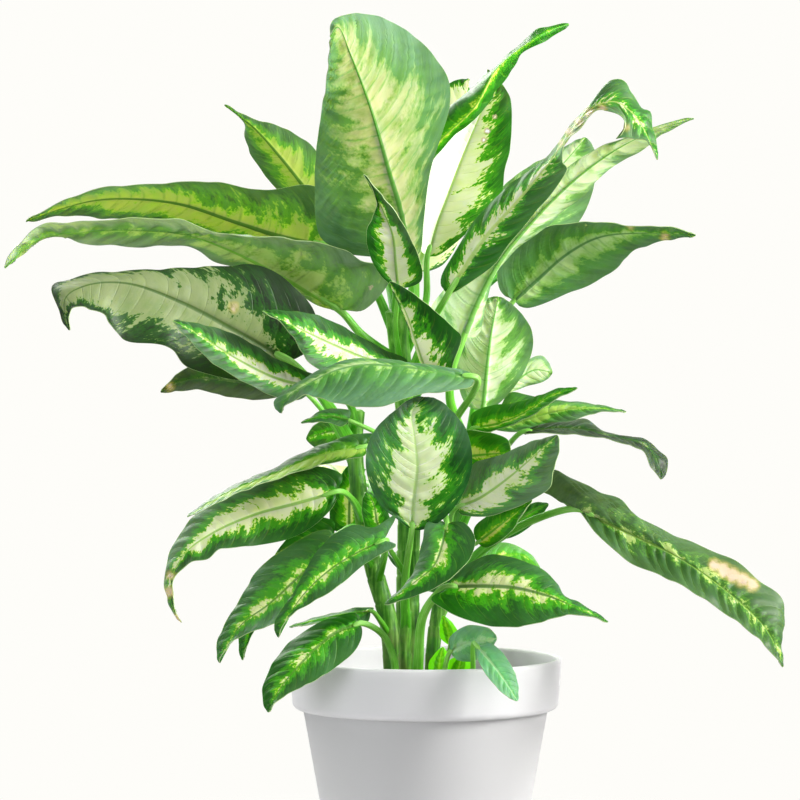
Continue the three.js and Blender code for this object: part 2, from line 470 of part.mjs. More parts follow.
// A round bar along a curve, its radius running evenly from the first to the last value: a section of
// radius 1 is extruded and each of its rings is then widened about its own centre.
function bar(curve, radii, sides, rows) {
  const section = new THREE.Shape();
  for (let j = 0; j < sides; j++) {
    const turn = (2 * Math.PI * j) / sides;
    section[j ? "lineTo" : "moveTo"](Math.cos(turn), Math.sin(turn));
  }
  section.closePath();
  const along = { steps: rows, bevelEnabled: false, extrudePath: curve };
  const geometry = new THREE.ExtrudeGeometry(section, along);
  const centres = curve.getSpacedPoints(rows);
  const corners = geometry.attributes.position;
  const corner = new THREE.Vector3();
  for (let k = 0; k < corners.count; k++) {
    corner.fromBufferAttribute(corners, k);
    const distances = centres.map((centre) => centre.distanceTo(corner));
    const ring = distances.indexOf(Math.min(...distances));
    const radius = THREE.MathUtils.lerp(radii[0], radii[1], ring / rows);
    corner.sub(centres[ring]).multiplyScalar(radius).add(centres[ring]);
    corners.setXYZ(k, corner.x, corner.y, corner.z);
  }
  return solid(geometry);
}

function lathed(profile, sides) {
  const outline = profile.map(([radius, z]) => new THREE.Vector2(radius, z));
  const geometry = new THREE.LatheGeometry(outline, sides);
  geometry.rotateX(Math.PI / 2);
  return solid(geometry);
}

// ---------------------------------------------------------------- pot and soil
const COLLAR_FOOT = POT_HEIGHT - COLLAR_HEIGHT;
const SLOPE = (BODY_TOP_RADIUS - BODY_FOOT_RADIUS) / COLLAR_FOOT;

// The inside of the pot follows its outside, one wall thickness in.
function innerRadius(z) {
  return BODY_FOOT_RADIUS + SLOPE * z - WALL;
}

const LIP = WALL / 2;
const outside = lathed([
  [0, 0],
  [BODY_FOOT_RADIUS - FOOT_ROUND, 0],
  [BODY_FOOT_RADIUS - FOOT_ROUND * 0.3 + SLOPE, FOOT_ROUND * 0.3],
  [BODY_FOOT_RADIUS + SLOPE * FOOT_ROUND, FOOT_ROUND],
  [BODY_TOP_RADIUS - SLOPE * 4, COLLAR_FOOT - 4],
  [BODY_TOP_RADIUS, COLLAR_FOOT],
  [COLLAR_BASE_RADIUS - COLLAR_ROUND * 0.8, COLLAR_FOOT + 0.6],
  [COLLAR_BASE_RADIUS - COLLAR_ROUND * 0.2, COLLAR_FOOT + COLLAR_ROUND * 0.5],
  [COLLAR_BASE_RADIUS, COLLAR_FOOT + COLLAR_ROUND],
  [RIM_RADIUS, POT_HEIGHT - LIP],
  [RIM_RADIUS - LIP * 0.3, POT_HEIGHT - LIP * 0.3],
  [RIM_RADIUS - LIP, POT_HEIGHT],
  [0, POT_HEIGHT],
], POT_SIDES);
const inside = lathed([
  [0, FLOOR],
  [innerRadius(FLOOR), FLOOR],
  [innerRadius(COLLAR_FOOT), COLLAR_FOOT],
  [COLLAR_BASE_RADIUS - WALL, COLLAR_FOOT + COLLAR_ROUND],
  [RIM_RADIUS - WALL, POT_HEIGHT - LIP],
  [RIM_RADIUS - WALL + LIP * 0.3, POT_HEIGHT - LIP * 0.3],
  [RIM_RADIUS - LIP, POT_HEIGHT],
  [RIM_RADIUS - LIP, POT_HEIGHT + 1],
  [0, POT_HEIGHT + 1],
], POT_SIDES);
const pot = outside.subtract(inside);

// ---------------------------------------------------------------- canes
function caneCurve({ line }, longer = 0) {
  const points = line.map(seen);
  const root = points[0].clone();
  root.z -= CANE_ROOT + longer;
  points[points.length - 1].z += longer;
  return smooth([root, ...points]);
}

function cane(spec, grown) {
  const radii = spec.radius.map((radius) => radius + grown);
  return bar(caneCurve(spec, 2 * grown), radii, CANE_SIDES, CANE_ROWS);
}

function onCane(name, height) {
  const curve = caneCurve(CANES[name]);
  let low = 0;
  let high = 1;
  for (let step = 0; step < 30; step++) {
    const middle = (low + high) / 2;
    if (curve.getPointAt(middle).z < height) {
      low = middle;
    } else {
      high = middle;
    }
  }
  return curve.getPointAt(low);
}

// ---------------------------------------------------------------- leaves
// One half of a blade: its margin is drawn as it is seen, from the blade's base round to its tip, and
// bends away from the midrib in depth.
function half(leaf, side) {
  const base = leaf.rib[0];
  const tip = leaf.rib[leaf.rib.length - 1];
  const margin = [base, ...leaf[side], tip].map(([x, z]) => new THREE.Vector2(x, z));
  return new THREE.SplineCurve(margin);
}

function ribCurve(leaf) {
  return smooth(leaf.rib.map(([x, z, depth]) => new THREE.Vector3(x, z, depth)));
}

// A point of the blade's middle surface: t runs from base to tip, s from the left margin at -1 over the
// midrib at 0 to the right margin at 1. Left and right are as seen from the base, in the front view.
function bladePoint(leaf, curves, t, s) {
  const side = s < 0 ? 0 : 1;
  const rib = curves.rib.getPointAt(t);
  const ahead = curves.rib.getTangentAt(t);
  const across = new THREE.Vector2(-ahead.y, ahead.x).normalize().multiplyScalar(side ? -1 : 1);
  const margin = curves.margins[side].getPointAt(t).addScaledVector(across, TIP_HALF_WIDTH);
  const share = Math.abs(s);
  const swell = Math.pow(Math.sin(Math.PI * t), SWELL);
  const turns = leaf.wave[1] * t + WAVE_PHASES[side];
  const ripple = leaf.wave[0] * share * share * Math.sin(2 * Math.PI * turns);
  const depth = rib.z + swell * (leaf.lean[side] * Math.pow(share, MARGIN_BEND) + ripple);
  const x = THREE.MathUtils.lerp(rib.x, margin.x, share);
  const z = THREE.MathUtils.lerp(rib.y, margin.y, share);
  return seen([x, z, depth]);
}

function blade(leaf, curves) {
  const length = curves.rib.getLength();
  const span = curves.margins[0].getPointAt(0.5).distanceTo(curves.margins[1].getPointAt(0.5));
  const rows = THREE.MathUtils.clamp(Math.round(length / ROW_LENGTH), ...ROWS);
  const columns = span > WIDE ? 3 : span > NARROW ? 2 : 1;
  const count = 2 * columns + 1;
  const grid = [];
  for (let i = 0; i <= rows; i++) {
    const row = [];
    const t = THREE.MathUtils.lerp(...BLADE_ENDS, i / rows);
    for (let j = -columns; j <= columns; j++) {
      row.push(bladePoint(leaf, curves, t, j / columns));
    }
    grid.push(row);
  }
  const front = [];
  const rear = [];
  const keels = leaf.shows === "top" ? [0, 1] : [1, 0];
  for (let i = 0; i <= rows; i++) {
    for (let j = 0; j < count; j++) {
      const ahead = grid[Math.min(i + 1, rows)][j].clone().sub(grid[Math.max(i - 1, 0)][j]);
      const right = grid[i][Math.min(j + 1, count - 1)].clone().sub(grid[i][Math.max(j - 1, 0)]);
      const normal = right.cross(ahead).normalize();
      const keel = j === columns ? leaf.stalk * KEEL * (1 - i / rows) : 0;
      front.push(grid[i][j].clone().addScaledVector(normal, BLADE_THICKNESS / 2 + keels[0] * keel));
      rear.push(grid[i][j].clone().addScaledVector(normal, -BLADE_THICKNESS / 2 - keels[1] * keel));
    }
  }
  const under = front.length;
  const triangles = [];
  for (let i = 0; i < rows; i++) {
    for (let j = 0; j + 1 < count; j++) {
      const a = i * count + j;
      const b = a + count;
      triangles.push([a, a + 1, b + 1], [a, b + 1, b]);
      triangles.push([under + a, under + b + 1, under + a + 1], [under + a, under + b, under + b + 1]);
    }
    const left = i * count;
    const right = left + count - 1;
    triangles.push([left, left + count, under + left + count], [left, under + left + count, under + left]);
    triangles.push([right, under + right, under + right + count]);
    triangles.push([right, under + right + count, right + count]);
  }
  const last = rows * count;
  for (let j = 0; j + 1 < count; j++) {
    triangles.push([j, under + j, under + j + 1], [j, under + j + 1, j + 1]);
    triangles.push([last + j, last + j + 1, under + last + j + 1]);
    triangles.push([last + j, under + last + j + 1, under + last + j]);
  }
  const geometry = new THREE.BufferGeometry();
  geometry.setFromPoints([...front, ...rear]);
  geometry.setIndex(triangles.flat());
  return solid(geometry);
}

function stalkCurve(leaf, curves) {
  const joint = seen(curves.rib.getPointAt(0).toArray());
  const inBlade = seen(curves.rib.getPointAt(STALK_REACH).toArray());
  const via = leaf.via.map(seen);
  const [source, place] = leaf.from;
  if (source === "soil") {
    const foot = new THREE.Vector3(place[0], place[1], SOIL_TOP - STALK_ROOT);
    const surface = new THREE.Vector3(place[0], place[1], SOIL_TOP);
    return smooth([foot, surface, ...via, joint, inBlade]);
  }
  const start = onCane(source, place);
  return smooth([start, ...via, joint, inBlade]);
}

const leaves = {};
const stalkHoles = [];
for (const [name, leaf] of Object.entries(LEAVES)) {
  const curves = { rib: ribCurve(leaf), margins: [half(leaf, "left"), half(leaf, "right")] };
  const route = stalkCurve(leaf, curves);
  const radii = STALK_FLARE.map((flare) => leaf.stalk * flare);
  const stalk = bar(route, radii, STALK_SIDES, STALK_ROWS + 2 * leaf.via.length);
  let whole = blade(leaf, curves).add(stalk);
  if (leaf.from[0] === "soil") {
    const wider = radii.map((radius) => radius + CLEARANCE);
    stalkHoles.push(bar(route, wider, STALK_SIDES, STALK_ROWS + 2 * leaf.via.length));
  } else {
    whole = whole.subtract(cane(CANES[leaf.from[0]], CLEARANCE));
  }
  leaves[name] = whole;
}

let soil = lathed([
  [0, FLOOR + CLEARANCE],
  [innerRadius(FLOOR) - CLEARANCE, FLOOR + CLEARANCE],
  [innerRadius(COLLAR_FOOT) - CLEARANCE, COLLAR_FOOT],
  [COLLAR_BASE_RADIUS - WALL - 1.5, SOIL_TOP],
  [RIM_RADIUS / 2, SOIL_TOP + SOIL_CROWN * 0.8],
  [0, SOIL_TOP + SOIL_CROWN],
], POT_SIDES / 2);
for (const spec of Object.values(CANES)) {
  soil = soil.subtract(cane(spec, CLEARANCE));
}
for (const hole of stalkHoles) {
  soil = soil.subtract(hole);
}

// ---------------------------------------------------------------- the part
const POT_GREY = { color: 0xe3e3e0, roughness: 0.5 };
const EARTH = { color: 0x3a2c20, roughness: 0.95 };
const CANE_GREEN = { color: 0x5f7a3a, roughness: 0.6 };
const LEAF_TOP = { color: 0x4f8f35, roughness: 0.45 };
const LEAF_UNDER = { color: 0x8db86c, roughness: 0.6 };

function largestBody(shape) {
  const pieces = shape.decompose();
  return pieces.reduce((best, piece) => (piece.volume() > best.volume() ? piece : best));
}

function named(name, shape, finish) {
  const { vertProperties, triVerts, numProp } = largestBody(shape).getMesh();
  const geometry = new THREE.BufferGeometry();
  const flat = new Float32Array((vertProperties.length / numProp) * 3);
  for (let i = 0; i < flat.length; i++) {
    flat[i] = vertProperties[Math.floor(i / 3) * numProp + (i % 3)];
  }
  geometry.setAttribute("position", new THREE.BufferAttribute(flat, 3));
  geometry.setIndex([...triVerts]);
  geometry.computeVertexNormals();
  const mesh = new THREE.Mesh(geometry, new THREE.MeshStandardMaterial(finish));
  mesh.name = name;
  return mesh;
}

const plant = new THREE.Group();
plant.add(named("pot", pot, POT_GREY));
plant.add(named("soil", soil, EARTH));
for (const [name, spec] of Object.entries(CANES)) {
  plant.add(named(`cane_${name}`, cane(spec, 0), CANE_GREEN));
}
for (const [name, whole] of Object.entries(leaves)) {
  plant.add(named(name, whole, LEAVES[name].shows === "top" ? LEAF_TOP : LEAF_UNDER));
}
export default plant;
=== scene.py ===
"""A potted dieffenbachia: a collared pale pot filled with potting mix, four canes with their leaf scars and
sheaths, and the stalked leaves, each with a folded, pleated and waved blade and its own cream marking.

Metres, +Z up. Seen from the front, +X is to the right and +Y is away from the viewer. The tables give
millimetres, and MM turns them into metres when a shape is worked out.
"""

import math

import bpy
import numpy as np
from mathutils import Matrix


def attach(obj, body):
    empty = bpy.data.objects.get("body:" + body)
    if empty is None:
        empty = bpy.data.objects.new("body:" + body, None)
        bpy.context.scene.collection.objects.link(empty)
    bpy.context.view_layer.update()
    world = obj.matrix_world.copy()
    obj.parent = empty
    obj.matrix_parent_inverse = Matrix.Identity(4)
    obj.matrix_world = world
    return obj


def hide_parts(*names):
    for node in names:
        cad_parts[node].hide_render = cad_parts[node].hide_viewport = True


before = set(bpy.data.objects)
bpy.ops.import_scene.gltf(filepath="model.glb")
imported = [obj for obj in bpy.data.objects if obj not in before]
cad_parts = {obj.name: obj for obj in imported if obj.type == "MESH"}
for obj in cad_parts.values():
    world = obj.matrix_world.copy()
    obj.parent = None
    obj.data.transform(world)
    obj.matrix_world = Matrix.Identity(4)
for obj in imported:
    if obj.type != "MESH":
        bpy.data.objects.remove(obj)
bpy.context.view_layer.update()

# ------------------------------------------------------------------ eye
# The plant is seen level, from two metres in front and a little left of its axis. The leaf and cane
# tables are written as seen from here, so the eye comes first.
MM = 0.001
EYE = np.array([-18.7, -2110.0, 369.0])
LENS = 129.2
SENSOR_WIDTH = 36.0

camera = bpy.data.objects.new("camera", bpy.data.cameras.new("camera"))
camera.data.lens = LENS
camera.data.sensor_width = SENSOR_WIDTH
camera.location = EYE * MM
camera.rotation_euler = (math.pi / 2, 0, 0)
bpy.context.scene.collection.objects.link(camera)
bpy.context.scene.camera = camera


def seen(points):
    """Points given as x and z in the plane of the pot's axis and a depth behind that plane, each slid
    along its line of sight: eye + (flat point - eye) * (depth + eye distance) / eye distance."""
    points = np.asarray(points, float)
    flat = np.stack([points[..., 0], np.zeros(points.shape[:-1]), points[..., 1]], -1)
    nearness = (points[..., 2:3] - EYE[1]) / -EYE[1]
    return EYE + (flat - EYE) * nearness


# ------------------------------------------------------------------ pot
# One moulded plastic pot, wider at the top, with a straight collar that overhangs the body by a rounded
# step and ends in a soft lip. Its skin is a matte, faintly satin, pale grey, with painted shade on the
# body.
POT_HEIGHT = 180
RIM_RADIUS = 100
COLLAR_BASE_RADIUS = 97.8
COLLAR_HEIGHT = 37
COLLAR_ROUND = 5
BODY_TOP_RADIUS = 90
BODY_FOOT_RADIUS = 64
FOOT_ROUND = 3
WALL = 4
FLOOR = 4
CREASE_ROUND = 1.2
POT_SIDES = 192
COLLAR_GREY = (211, 210, 215)
COLLAR_CLOUD = (217, 216, 221)
# The body's grey, below BODY_TOP in millimetres, is painted shade: a tone darker than the collar's.
BODY_SHADE_GREY = (197, 197, 200)
BODY_TOP = (140, 146)

COLLAR_FOOT = POT_HEIGHT - COLLAR_HEIGHT
SLOPE = (BODY_TOP_RADIUS - BODY_FOOT_RADIUS) / COLLAR_FOOT


def arc(centre, radius, start, end, steps=8):
    """Points [radius, height] of a circle's stretch from one angle to the other, in degrees."""
    turn = np.radians(np.linspace(start, end, steps))
    return np.stack([centre[0] + radius * np.cos(turn), centre[1] + radius * np.sin(turn)], -1)


def line(start, end, steps=12):
    """Points [radius, height] spaced evenly on a straight line."""
    return np.linspace(start, end, steps)


def lathed(profile, sides):
    """A profile of [radius, height] points turned about the Z axis: point (i, j) is
    (r_i cos a_j, r_i sin a_j, z_i). Returns the points and the faces, closed at both poles."""
    turn = np.linspace(0, 2 * math.pi, sides, endpoint=False)
    radius = profile[:, :1]
    height = np.repeat(profile[:, 1:], sides, 1)
    points = np.stack([radius * np.cos(turn), radius * np.sin(turn), height], -1)
    i, j = np.meshgrid(np.arange(len(profile) - 1), np.arange(sides), indexing="ij")
    across = (j + 1) % sides
    quads = np.stack([i * sides + j, i * sides + across, (i + 1) * sides + across, (i + 1) * sides + j], -1)
    return points.reshape(-1, 3), quads.reshape(-1, 4).tolist()


def piece(name, points, faces, node, slot, sharp=50):
    """A mesh object from points in millimetres, smooth but for its sharp edges.
    It stands for its CAD node and rides on the one body."""
    mesh = bpy.data.meshes.new(name)
    mesh.from_pydata((np.asarray(points) * MM).tolist(), [], faces)
    mesh.validate()
    mesh.shade_smooth()
    mesh.set_sharp_from_angle(angle=math.radians(sharp))
    made = bpy.data.objects.new(name, mesh)
    bpy.context.scene.collection.objects.link(made)
    if node:
        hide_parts(node)
    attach(made, "root")
    return made


class Wire:
    """A number that changes over a surface. An expression on it adds its Math nodes."""

    def __init__(self, finish, socket):
        self.finish = finish
        self.socket = socket

    def math(self, operation, *others):
        """A Math node on this number and the others."""
        inputs = dict(enumerate((self, *others)))
        return self.finish.add("ShaderNodeMath", {"operation": operation}, inputs)

    def __add__(self, other):
        return self.math("ADD", other)

    def __sub__(self, other):
        return self.math("SUBTRACT", other)

    def __rsub__(self, other):
        return (self * -1) + other

    def __mul__(self, other):
        return self.math("MULTIPLY", other)

    __radd__ = __add__
    __rmul__ = __mul__

    def above(self, low, high):
        """0 below low, 1 above high and smooth between them."""
        values = {"Value": self, "From Min": low, "From Max": high}
        return self.finish.add("ShaderNodeMapRange", {"interpolation_type": "SMOOTHSTEP"}, values)


def linear(colour, alpha=1.0):
    """A colour given in 0 to 255, turned into the linear light that the shader works in."""
    share = np.asarray(colour, float) / 255
    return (*np.where(share <= 0.04045, share / 12.92, ((share + 0.055) / 1.055) ** 2.4), alpha)


class Finish:
    """A material whose nodes are added one by one."""

    def __init__(self, name):
        self.material = bpy.data.materials.new(name)
        self.material.use_nodes = True
        self.tree = self.material.node_tree
        self.tree.nodes.clear()

    def add(self, kind, settings=None, inputs=None, output=0):
        """A node of that type: its settings first, then the value or the link of each socket."""
        node = self.tree.nodes.new(kind)
        for key, value in (settings or {}).items():
            if key == "stops":
                self.fill(node.color_ramp, value)
            else:
                setattr(node, key, value)
        for key, value in (inputs or {}).items():
            if isinstance(value, Wire):
                self.tree.links.new(value.socket, node.inputs[key])
            else:
                node.inputs[key].default_value = value
        return Wire(self, node.outputs[output]) if node.outputs else None

    def fill(self, ramp, stops):
        """Sets a ramp's colours, each at its place."""
        while len(ramp.elements) < len(stops):
            ramp.elements.new(1.0)
        for element, (place, colour) in zip(ramp.elements, stops):
            element.position = place
            element.color = linear(colour)

    def noise(self, place, scale, detail=3.0, roughness=0.55):
        """Cloudy noise from 0 to 1, with a middle of 0.5."""
        inputs = {"Vector": place, "Scale": scale, "Detail": detail, "Roughness": roughness}
        return self.add("ShaderNodeTexNoise", {}, inputs)

    def ramp(self, factor, stops):
        """The colour that the stops give at that factor."""
        return self.add("ShaderNodeValToRGB", {"stops": stops}, {"Fac": factor})

    def blend(self, factor, a, b):
        """Colour a where factor is 0, colour b where it is 1."""
        a, b = (c if isinstance(c, Wire) else linear(c) for c in (a, b))
        return self.add("ShaderNodeMix", {"data_type": "RGBA"}, {0: factor, 6: a, 7: b}, 2)

    def bump(self, height, distance, strength=1.0):
        """A relief that rises by the distance, in metres, for each unit of height."""
        inputs = {"Height": height, "Distance": distance, "Strength": strength}
        return self.add("ShaderNodeBump", {}, inputs)

    def surface(self, **values):
        """The Principled shader, with each socket's name written with _ for a space."""
        inputs = {key.replace("_", " "): value for key, value in values.items()}
        shader = self.add("ShaderNodeBsdfPrincipled", {}, inputs)
        self.add("ShaderNodeOutputMaterial", {}, {"Surface": shader})
        return self.material


def pot_profile():
    """The outline from the underside's middle up the outside, over the lip and down the inside."""
    lip = WALL / 2
    inner_foot = BODY_FOOT_RADIUS + SLOPE * FLOOR - WALL
    inner_neck = BODY_TOP_RADIUS - WALL
    return np.concatenate([
        line([0, 0], [BODY_FOOT_RADIUS - FOOT_ROUND, 0], 6),
        arc([BODY_FOOT_RADIUS - FOOT_ROUND, FOOT_ROUND], FOOT_ROUND, -90, -10, 6)[1:],
        line([BODY_FOOT_RADIUS + SLOPE * 5, 5], [BODY_TOP_RADIUS - SLOPE * 3, COLLAR_FOOT - 3], 14),
        arc([BODY_TOP_RADIUS + CREASE_ROUND, COLLAR_FOOT - CREASE_ROUND], CREASE_ROUND, 180, 90, 5),
        arc([COLLAR_BASE_RADIUS - COLLAR_ROUND, COLLAR_FOOT + COLLAR_ROUND], COLLAR_ROUND, -90, 0, 10),
        line([COLLAR_BASE_RADIUS + 0.1, COLLAR_FOOT + 7], [RIM_RADIUS, POT_HEIGHT - lip - 0.4], 8),
        arc([RIM_RADIUS - lip, POT_HEIGHT - lip], lip, 0, 180, 12),
        line([RIM_RADIUS - WALL - 0.1, POT_HEIGHT - lip - 1],
             [COLLAR_BASE_RADIUS - WALL, COLLAR_FOOT + 6], 8),
        line([inner_neck, COLLAR_FOOT - 2], [inner_foot, FLOOR], 8),
        line([inner_foot * 0.7, FLOOR], [0, FLOOR], 4),
    ])


def pot_skin():
    """Pale plastic, faintly clouded, with painted shade: the body is a tone darker than the collar."""
    finish = Finish("pot_skin")
    place = finish.add("ShaderNodeTexCoord", output=3)
    cloud = finish.noise(place, 9.0, 4.0)
    grain = finish.noise(place, 900.0, 2.0)
    colour = finish.blend(cloud.above(0.3, 0.75), COLLAR_GREY, COLLAR_CLOUD)
    height = finish.add("ShaderNodeSeparateXYZ", {}, {"Vector": place}, 2)
    # Painted shade: below the collar the body takes the darker grey.
    colour = finish.blend(1 - height.above(BODY_TOP[0] * MM, BODY_TOP[1] * MM), colour, BODY_SHADE_GREY)
    return finish.surface(
        Base_Color=colour,
        Roughness=0.42 + 0.12 * cloud,
        Normal=finish.bump(grain, 0.00006, 0.5),
        Subsurface_Weight=0.8,
        Subsurface_Radius=(1.0, 1.0, 1.0),
        Subsurface_Scale=0.012,
    )


pot = piece("moulded_pot", *lathed(pot_profile(), POT_SIDES), "pot", "pot")
pot.data.materials.append(pot_skin())

# ------------------------------------------------------------------ soil
# Potting mix fills the pot to some three centimetres under the lip: a low, uneven mound of peat with
# loose crumbs and bark chips lying on it.
SOIL_TOP = 149
SOIL_CROWN = 3
SOIL_SIDES = 160
SOIL_RINGS = 60
SOIL_EDGE = 92
CRUMBS = 900
CRUMB_REACH = 88
CLEARANCE = 0.4
PEAT = ((0.25, (24, 16, 11)), (0.5, (54, 38, 26)), (0.72, (86, 62, 42)), (0.9, (140, 112, 80)))

random = np.random.default_rng(41)


def uneven(x, y, waves, longest, rng):
    """A rolling height: the mean of sines in random directions, from the longest wave to a ninth of it."""
    height = np.zeros(np.shape(x))
    for wave in np.geomspace(longest, longest / 9, waves):
        turn, phase = rng.uniform(0, 2 * math.pi, 2)
        height += np.sin(2 * math.pi * (x * math.cos(turn) + y * math.sin(turn)) / wave + phase)
    return height / math.sqrt(waves)


def soil_profile():
    """The outline of the fill, from its underside's middle up along the wall and in over its top."""
    inner = BODY_FOOT_RADIUS + SLOPE * FLOOR - WALL - CLEARANCE
    neck = BODY_TOP_RADIUS - WALL - 0.5
    rim = COLLAR_BASE_RADIUS - WALL - 1.5
    top = line([rim, SOIL_TOP - 1], [0, SOIL_TOP + SOIL_CROWN], SOIL_RINGS)
    foot = FLOOR + CLEARANCE
    return np.concatenate([[[0, foot], [inner, foot], [neck, COLLAR_FOOT]], top])


mound, mound_faces = lathed(soil_profile(), SOIL_SIDES)
on_top = np.arange(len(mound)) >= 3 * SOIL_SIDES
fade = np.clip((SOIL_EDGE - np.hypot(mound[:, 0], mound[:, 1])) / 20, 0, 1) * on_top
mound[:, 2] += fade * (uneven(mound[:, 0], mound[:, 1], 7, 45, random) * 0.9 - 0.8)
mound[:, 2] += fade * uneven(mound[:, 0], mound[:, 1], 9, 7, random) * 0.35

# Each crumb is a dented ball of 20 faces: a unit ball's point times three random half widths.
golden = (1 + math.sqrt(5)) / 2
ball = np.array([(-1, golden, 0), (1, golden, 0), (-1, -golden, 0), (1, -golden, 0),
                 (0, -1, golden), (0, 1, golden), (0, -1, -golden), (0, 1, -golden),
                 (golden, 0, -1), (golden, 0, 1), (-golden, 0, -1), (-golden, 0, 1)])
ball /= math.hypot(1, golden)
ball_faces = np.array([(0, 11, 5), (0, 5, 1), (0, 1, 7), (0, 7, 10), (0, 10, 11), (1, 5, 9), (5, 11, 4),
                       (11, 10, 2), (10, 7, 6), (7, 1, 8), (3, 9, 4), (3, 4, 2), (3, 2, 6), (3, 6, 8),
                       (3, 8, 9), (4, 9, 5), (2, 4, 11), (6, 2, 10), (8, 6, 7), (9, 8, 1)])
reach = CRUMB_REACH * np.sqrt(random.uniform(0, 1, CRUMBS))
turn = random.uniform(0, 2 * math.pi, CRUMBS)
half = random.uniform(0.6, 1.9, (CRUMBS, 3)) * random.choice([1, 1, 1, 1.9], (CRUMBS, 1))
dents = random.uniform(0.75, 1.2, (CRUMBS, 12, 1))
spot = np.stack([reach * np.cos(turn), reach * np.sin(turn)], -1)
lift = SOIL_TOP + SOIL_CROWN * (1 - reach / SOIL_EDGE) - 0.6 + 0.3 * half[:, 2]
crumbs = ball * dents * half[:, None]
crumbs[..., :2] += spot[:, None]
crumbs[..., 2] += lift[:, None]
crumb_faces = (ball_faces + 12 * np.arange(CRUMBS)[:, None, None]).reshape(-1, 3).tolist()


def peat():
    """Dark brown lumps with paler fibres."""
    finish = Finish("peat")
    place = finish.add("ShaderNodeTexCoord", output=3)
    lumps = finish.noise(place, 320.0, 5.0, 0.7)
    fine = finish.noise(place, 1500.0, 3.0)
    return finish.surface(
        Base_Color=finish.ramp(lumps, PEAT),
        Roughness=0.97 - 0.1 * fine,
        Normal=finish.bump(lumps + 0.4 * fine, 0.0012),
    )


soil = piece("potting_mix", mound, mound_faces, "soil", "soil")
soil_crumbs = piece("soil_crumbs", crumbs.reshape(-1, 3), crumb_faces, None, "soil", 20)
earth = peat()
soil.data.materials.append(earth)
soil_crumbs.data.materials.append(earth)

# ------------------------------------------------------------------ canes
# Four fleshy green stems. Each is ringed where old leaves stood, swells a little under every ring, and
# is streaked lengthwise in paler green, browner near the soil.
CANES = {
  "tall": dict(radius=(9.5, 8), line=[
    (-12, 149, 18), (-13, 220, 20), (-12, 300, 24), (-14, 360, 20), (-19, 405, 14), (-22, 436, 8)]),
  "left": dict(radius=(8, 6), line=[
    (-23, 149, -3), (-27, 205, -4), (-38, 245, -2), (-47, 290, 0), (-52, 335, 4), (-50, 362, 6)]),
  "front": dict(radius=(5.5, 4.5), line=[(-15, 149, -30), (-15, 185, -32), (-14, 215, -36)]),
  "right": dict(radius=(5, 6.5), line=[
    (4, 149, -8), (6, 190, -8), (11, 220, -4), (21, 262, 4), (29, 300, 10), (31, 345, 14)]),
}
CANE_ROOT = 55
CANE_SIDES = 32
CURVE_POINTS = 60
CANE_STEP = 1.6
RING_SPACING = 19
RING_SWELL = 0.35
NOTCH_DEPTH = 0.45
NOTCH_WIDTH = 0.035
OLD_BARK = (112, 92, 56)
CANE_GREENS = ((0.3, (34, 90, 10)), (0.45, (72, 146, 28)), (0.56, (120, 190, 64)), (0.7, (176, 218, 128)))


def course(points, even=False):
    """A smooth curve through points, with CURVE_POINTS points for each stretch, and the length run so
    far. Each stretch is a Hermite curve from a to b, whose slopes come from the neighbours: spaced by the
    square root of their distance, or, for an even course, all alike with the end points doubled."""
    points = np.asarray(points, float)
    first = points[0] if even else 2 * points[0] - points[1]
    last = points[-1] if even else 2 * points[-1] - points[-2]
    p = np.vstack([first, points, last])
    gap = np.ones(len(p) - 1) if even else np.sqrt(np.linalg.norm(np.diff(p, axis=0), axis=1))
    gap = gap[:, None]
    chord = np.diff(p, axis=0)
    if even:
        slope = (p[2:] - p[:-2]) / 2
        start, end = slope[:-1], slope[1:]
    else:
        pair = (p[2:] - p[:-2]) / (gap[1:] + gap[:-1])
        rate = chord / gap
        start = (rate[:-2] - pair[:-1] + rate[1:-1]) * gap[1:-1]
        end = (rate[1:-1] - pair[1:] + rate[2:]) * gap[1:-1]
    u = np.linspace(0, 1, CURVE_POINTS, endpoint=False)[None, :, None]
    a, b = p[1:-2, None], p[2:-1, None]
    hermite = (a * (2 * u**3 - 3 * u**2 + 1) + b * (3 * u**2 - 2 * u**3)
               + start[:, None] * (u**3 - 2 * u**2 + u) + end[:, None] * (u**3 - u**2))
    dense = np.vstack([hermite.reshape(-1, points.shape[1]), points[-1]])
    run = np.concatenate([[0], np.cumsum(np.linalg.norm(np.diff(dense, axis=0), axis=1))])
    return dense, run


def at(curve, t):
    """The curve's points at shares t of its length."""
    dense, run = curve
    return np.stack([np.interp(t * run[-1], run, axis) for axis in dense.T], -1)


def tube(centres, radii, up):
    """A closed tube: ring i is centre_i + radius_ij (cos a_j side_i + sin a_j over_i), where side is the
    tangent crossed with up. Radii may differ round a ring. The ends close on a middle point."""
    tangent = np.gradient(centres, axis=0)
    tangent /= np.linalg.norm(tangent, axis=1, keepdims=True)
    side = np.cross(tangent, up)
    side /= np.linalg.norm(side, axis=1, keepdims=True)
    over = np.cross(side, tangent)
    rows, sides = radii.shape
    a = np.linspace(0, 2 * math.pi, sides, endpoint=False)
    rings = centres[:, None] + radii[..., None] * (
        np.cos(a)[None, :, None] * side[:, None] + np.sin(a)[None, :, None] * over[:, None])
    points = np.vstack([rings.reshape(-1, 3), centres[:1], centres[-1:]])
    i, j = np.meshgrid(np.arange(rows - 1), np.arange(sides), indexing="ij")
    k = (j + 1) % sides
    quads = np.stack([i * sides + k, i * sides + j, (i + 1) * sides + j, (i + 1) * sides + k], -1)
    faces = quads.reshape(-1, 4).tolist()
    j = np.arange(sides)
    k = (j + 1) % sides
    last = (rows - 1) * sides
    foot = np.stack([j, k, np.full(sides, rows * sides)], -1)
    head = np.stack([last + k, last + j, np.full(sides, rows * sides + 1)], -1)
    return points, faces + foot.tolist() + head.tolist()


def cane_course(spec):
    """A cane's centre line as it stands, from its root in the soil to its top."""
    points = seen(spec["line"])
    root = points[0] - [0, 0, CANE_ROOT]
    return course(np.vstack([root, points]))


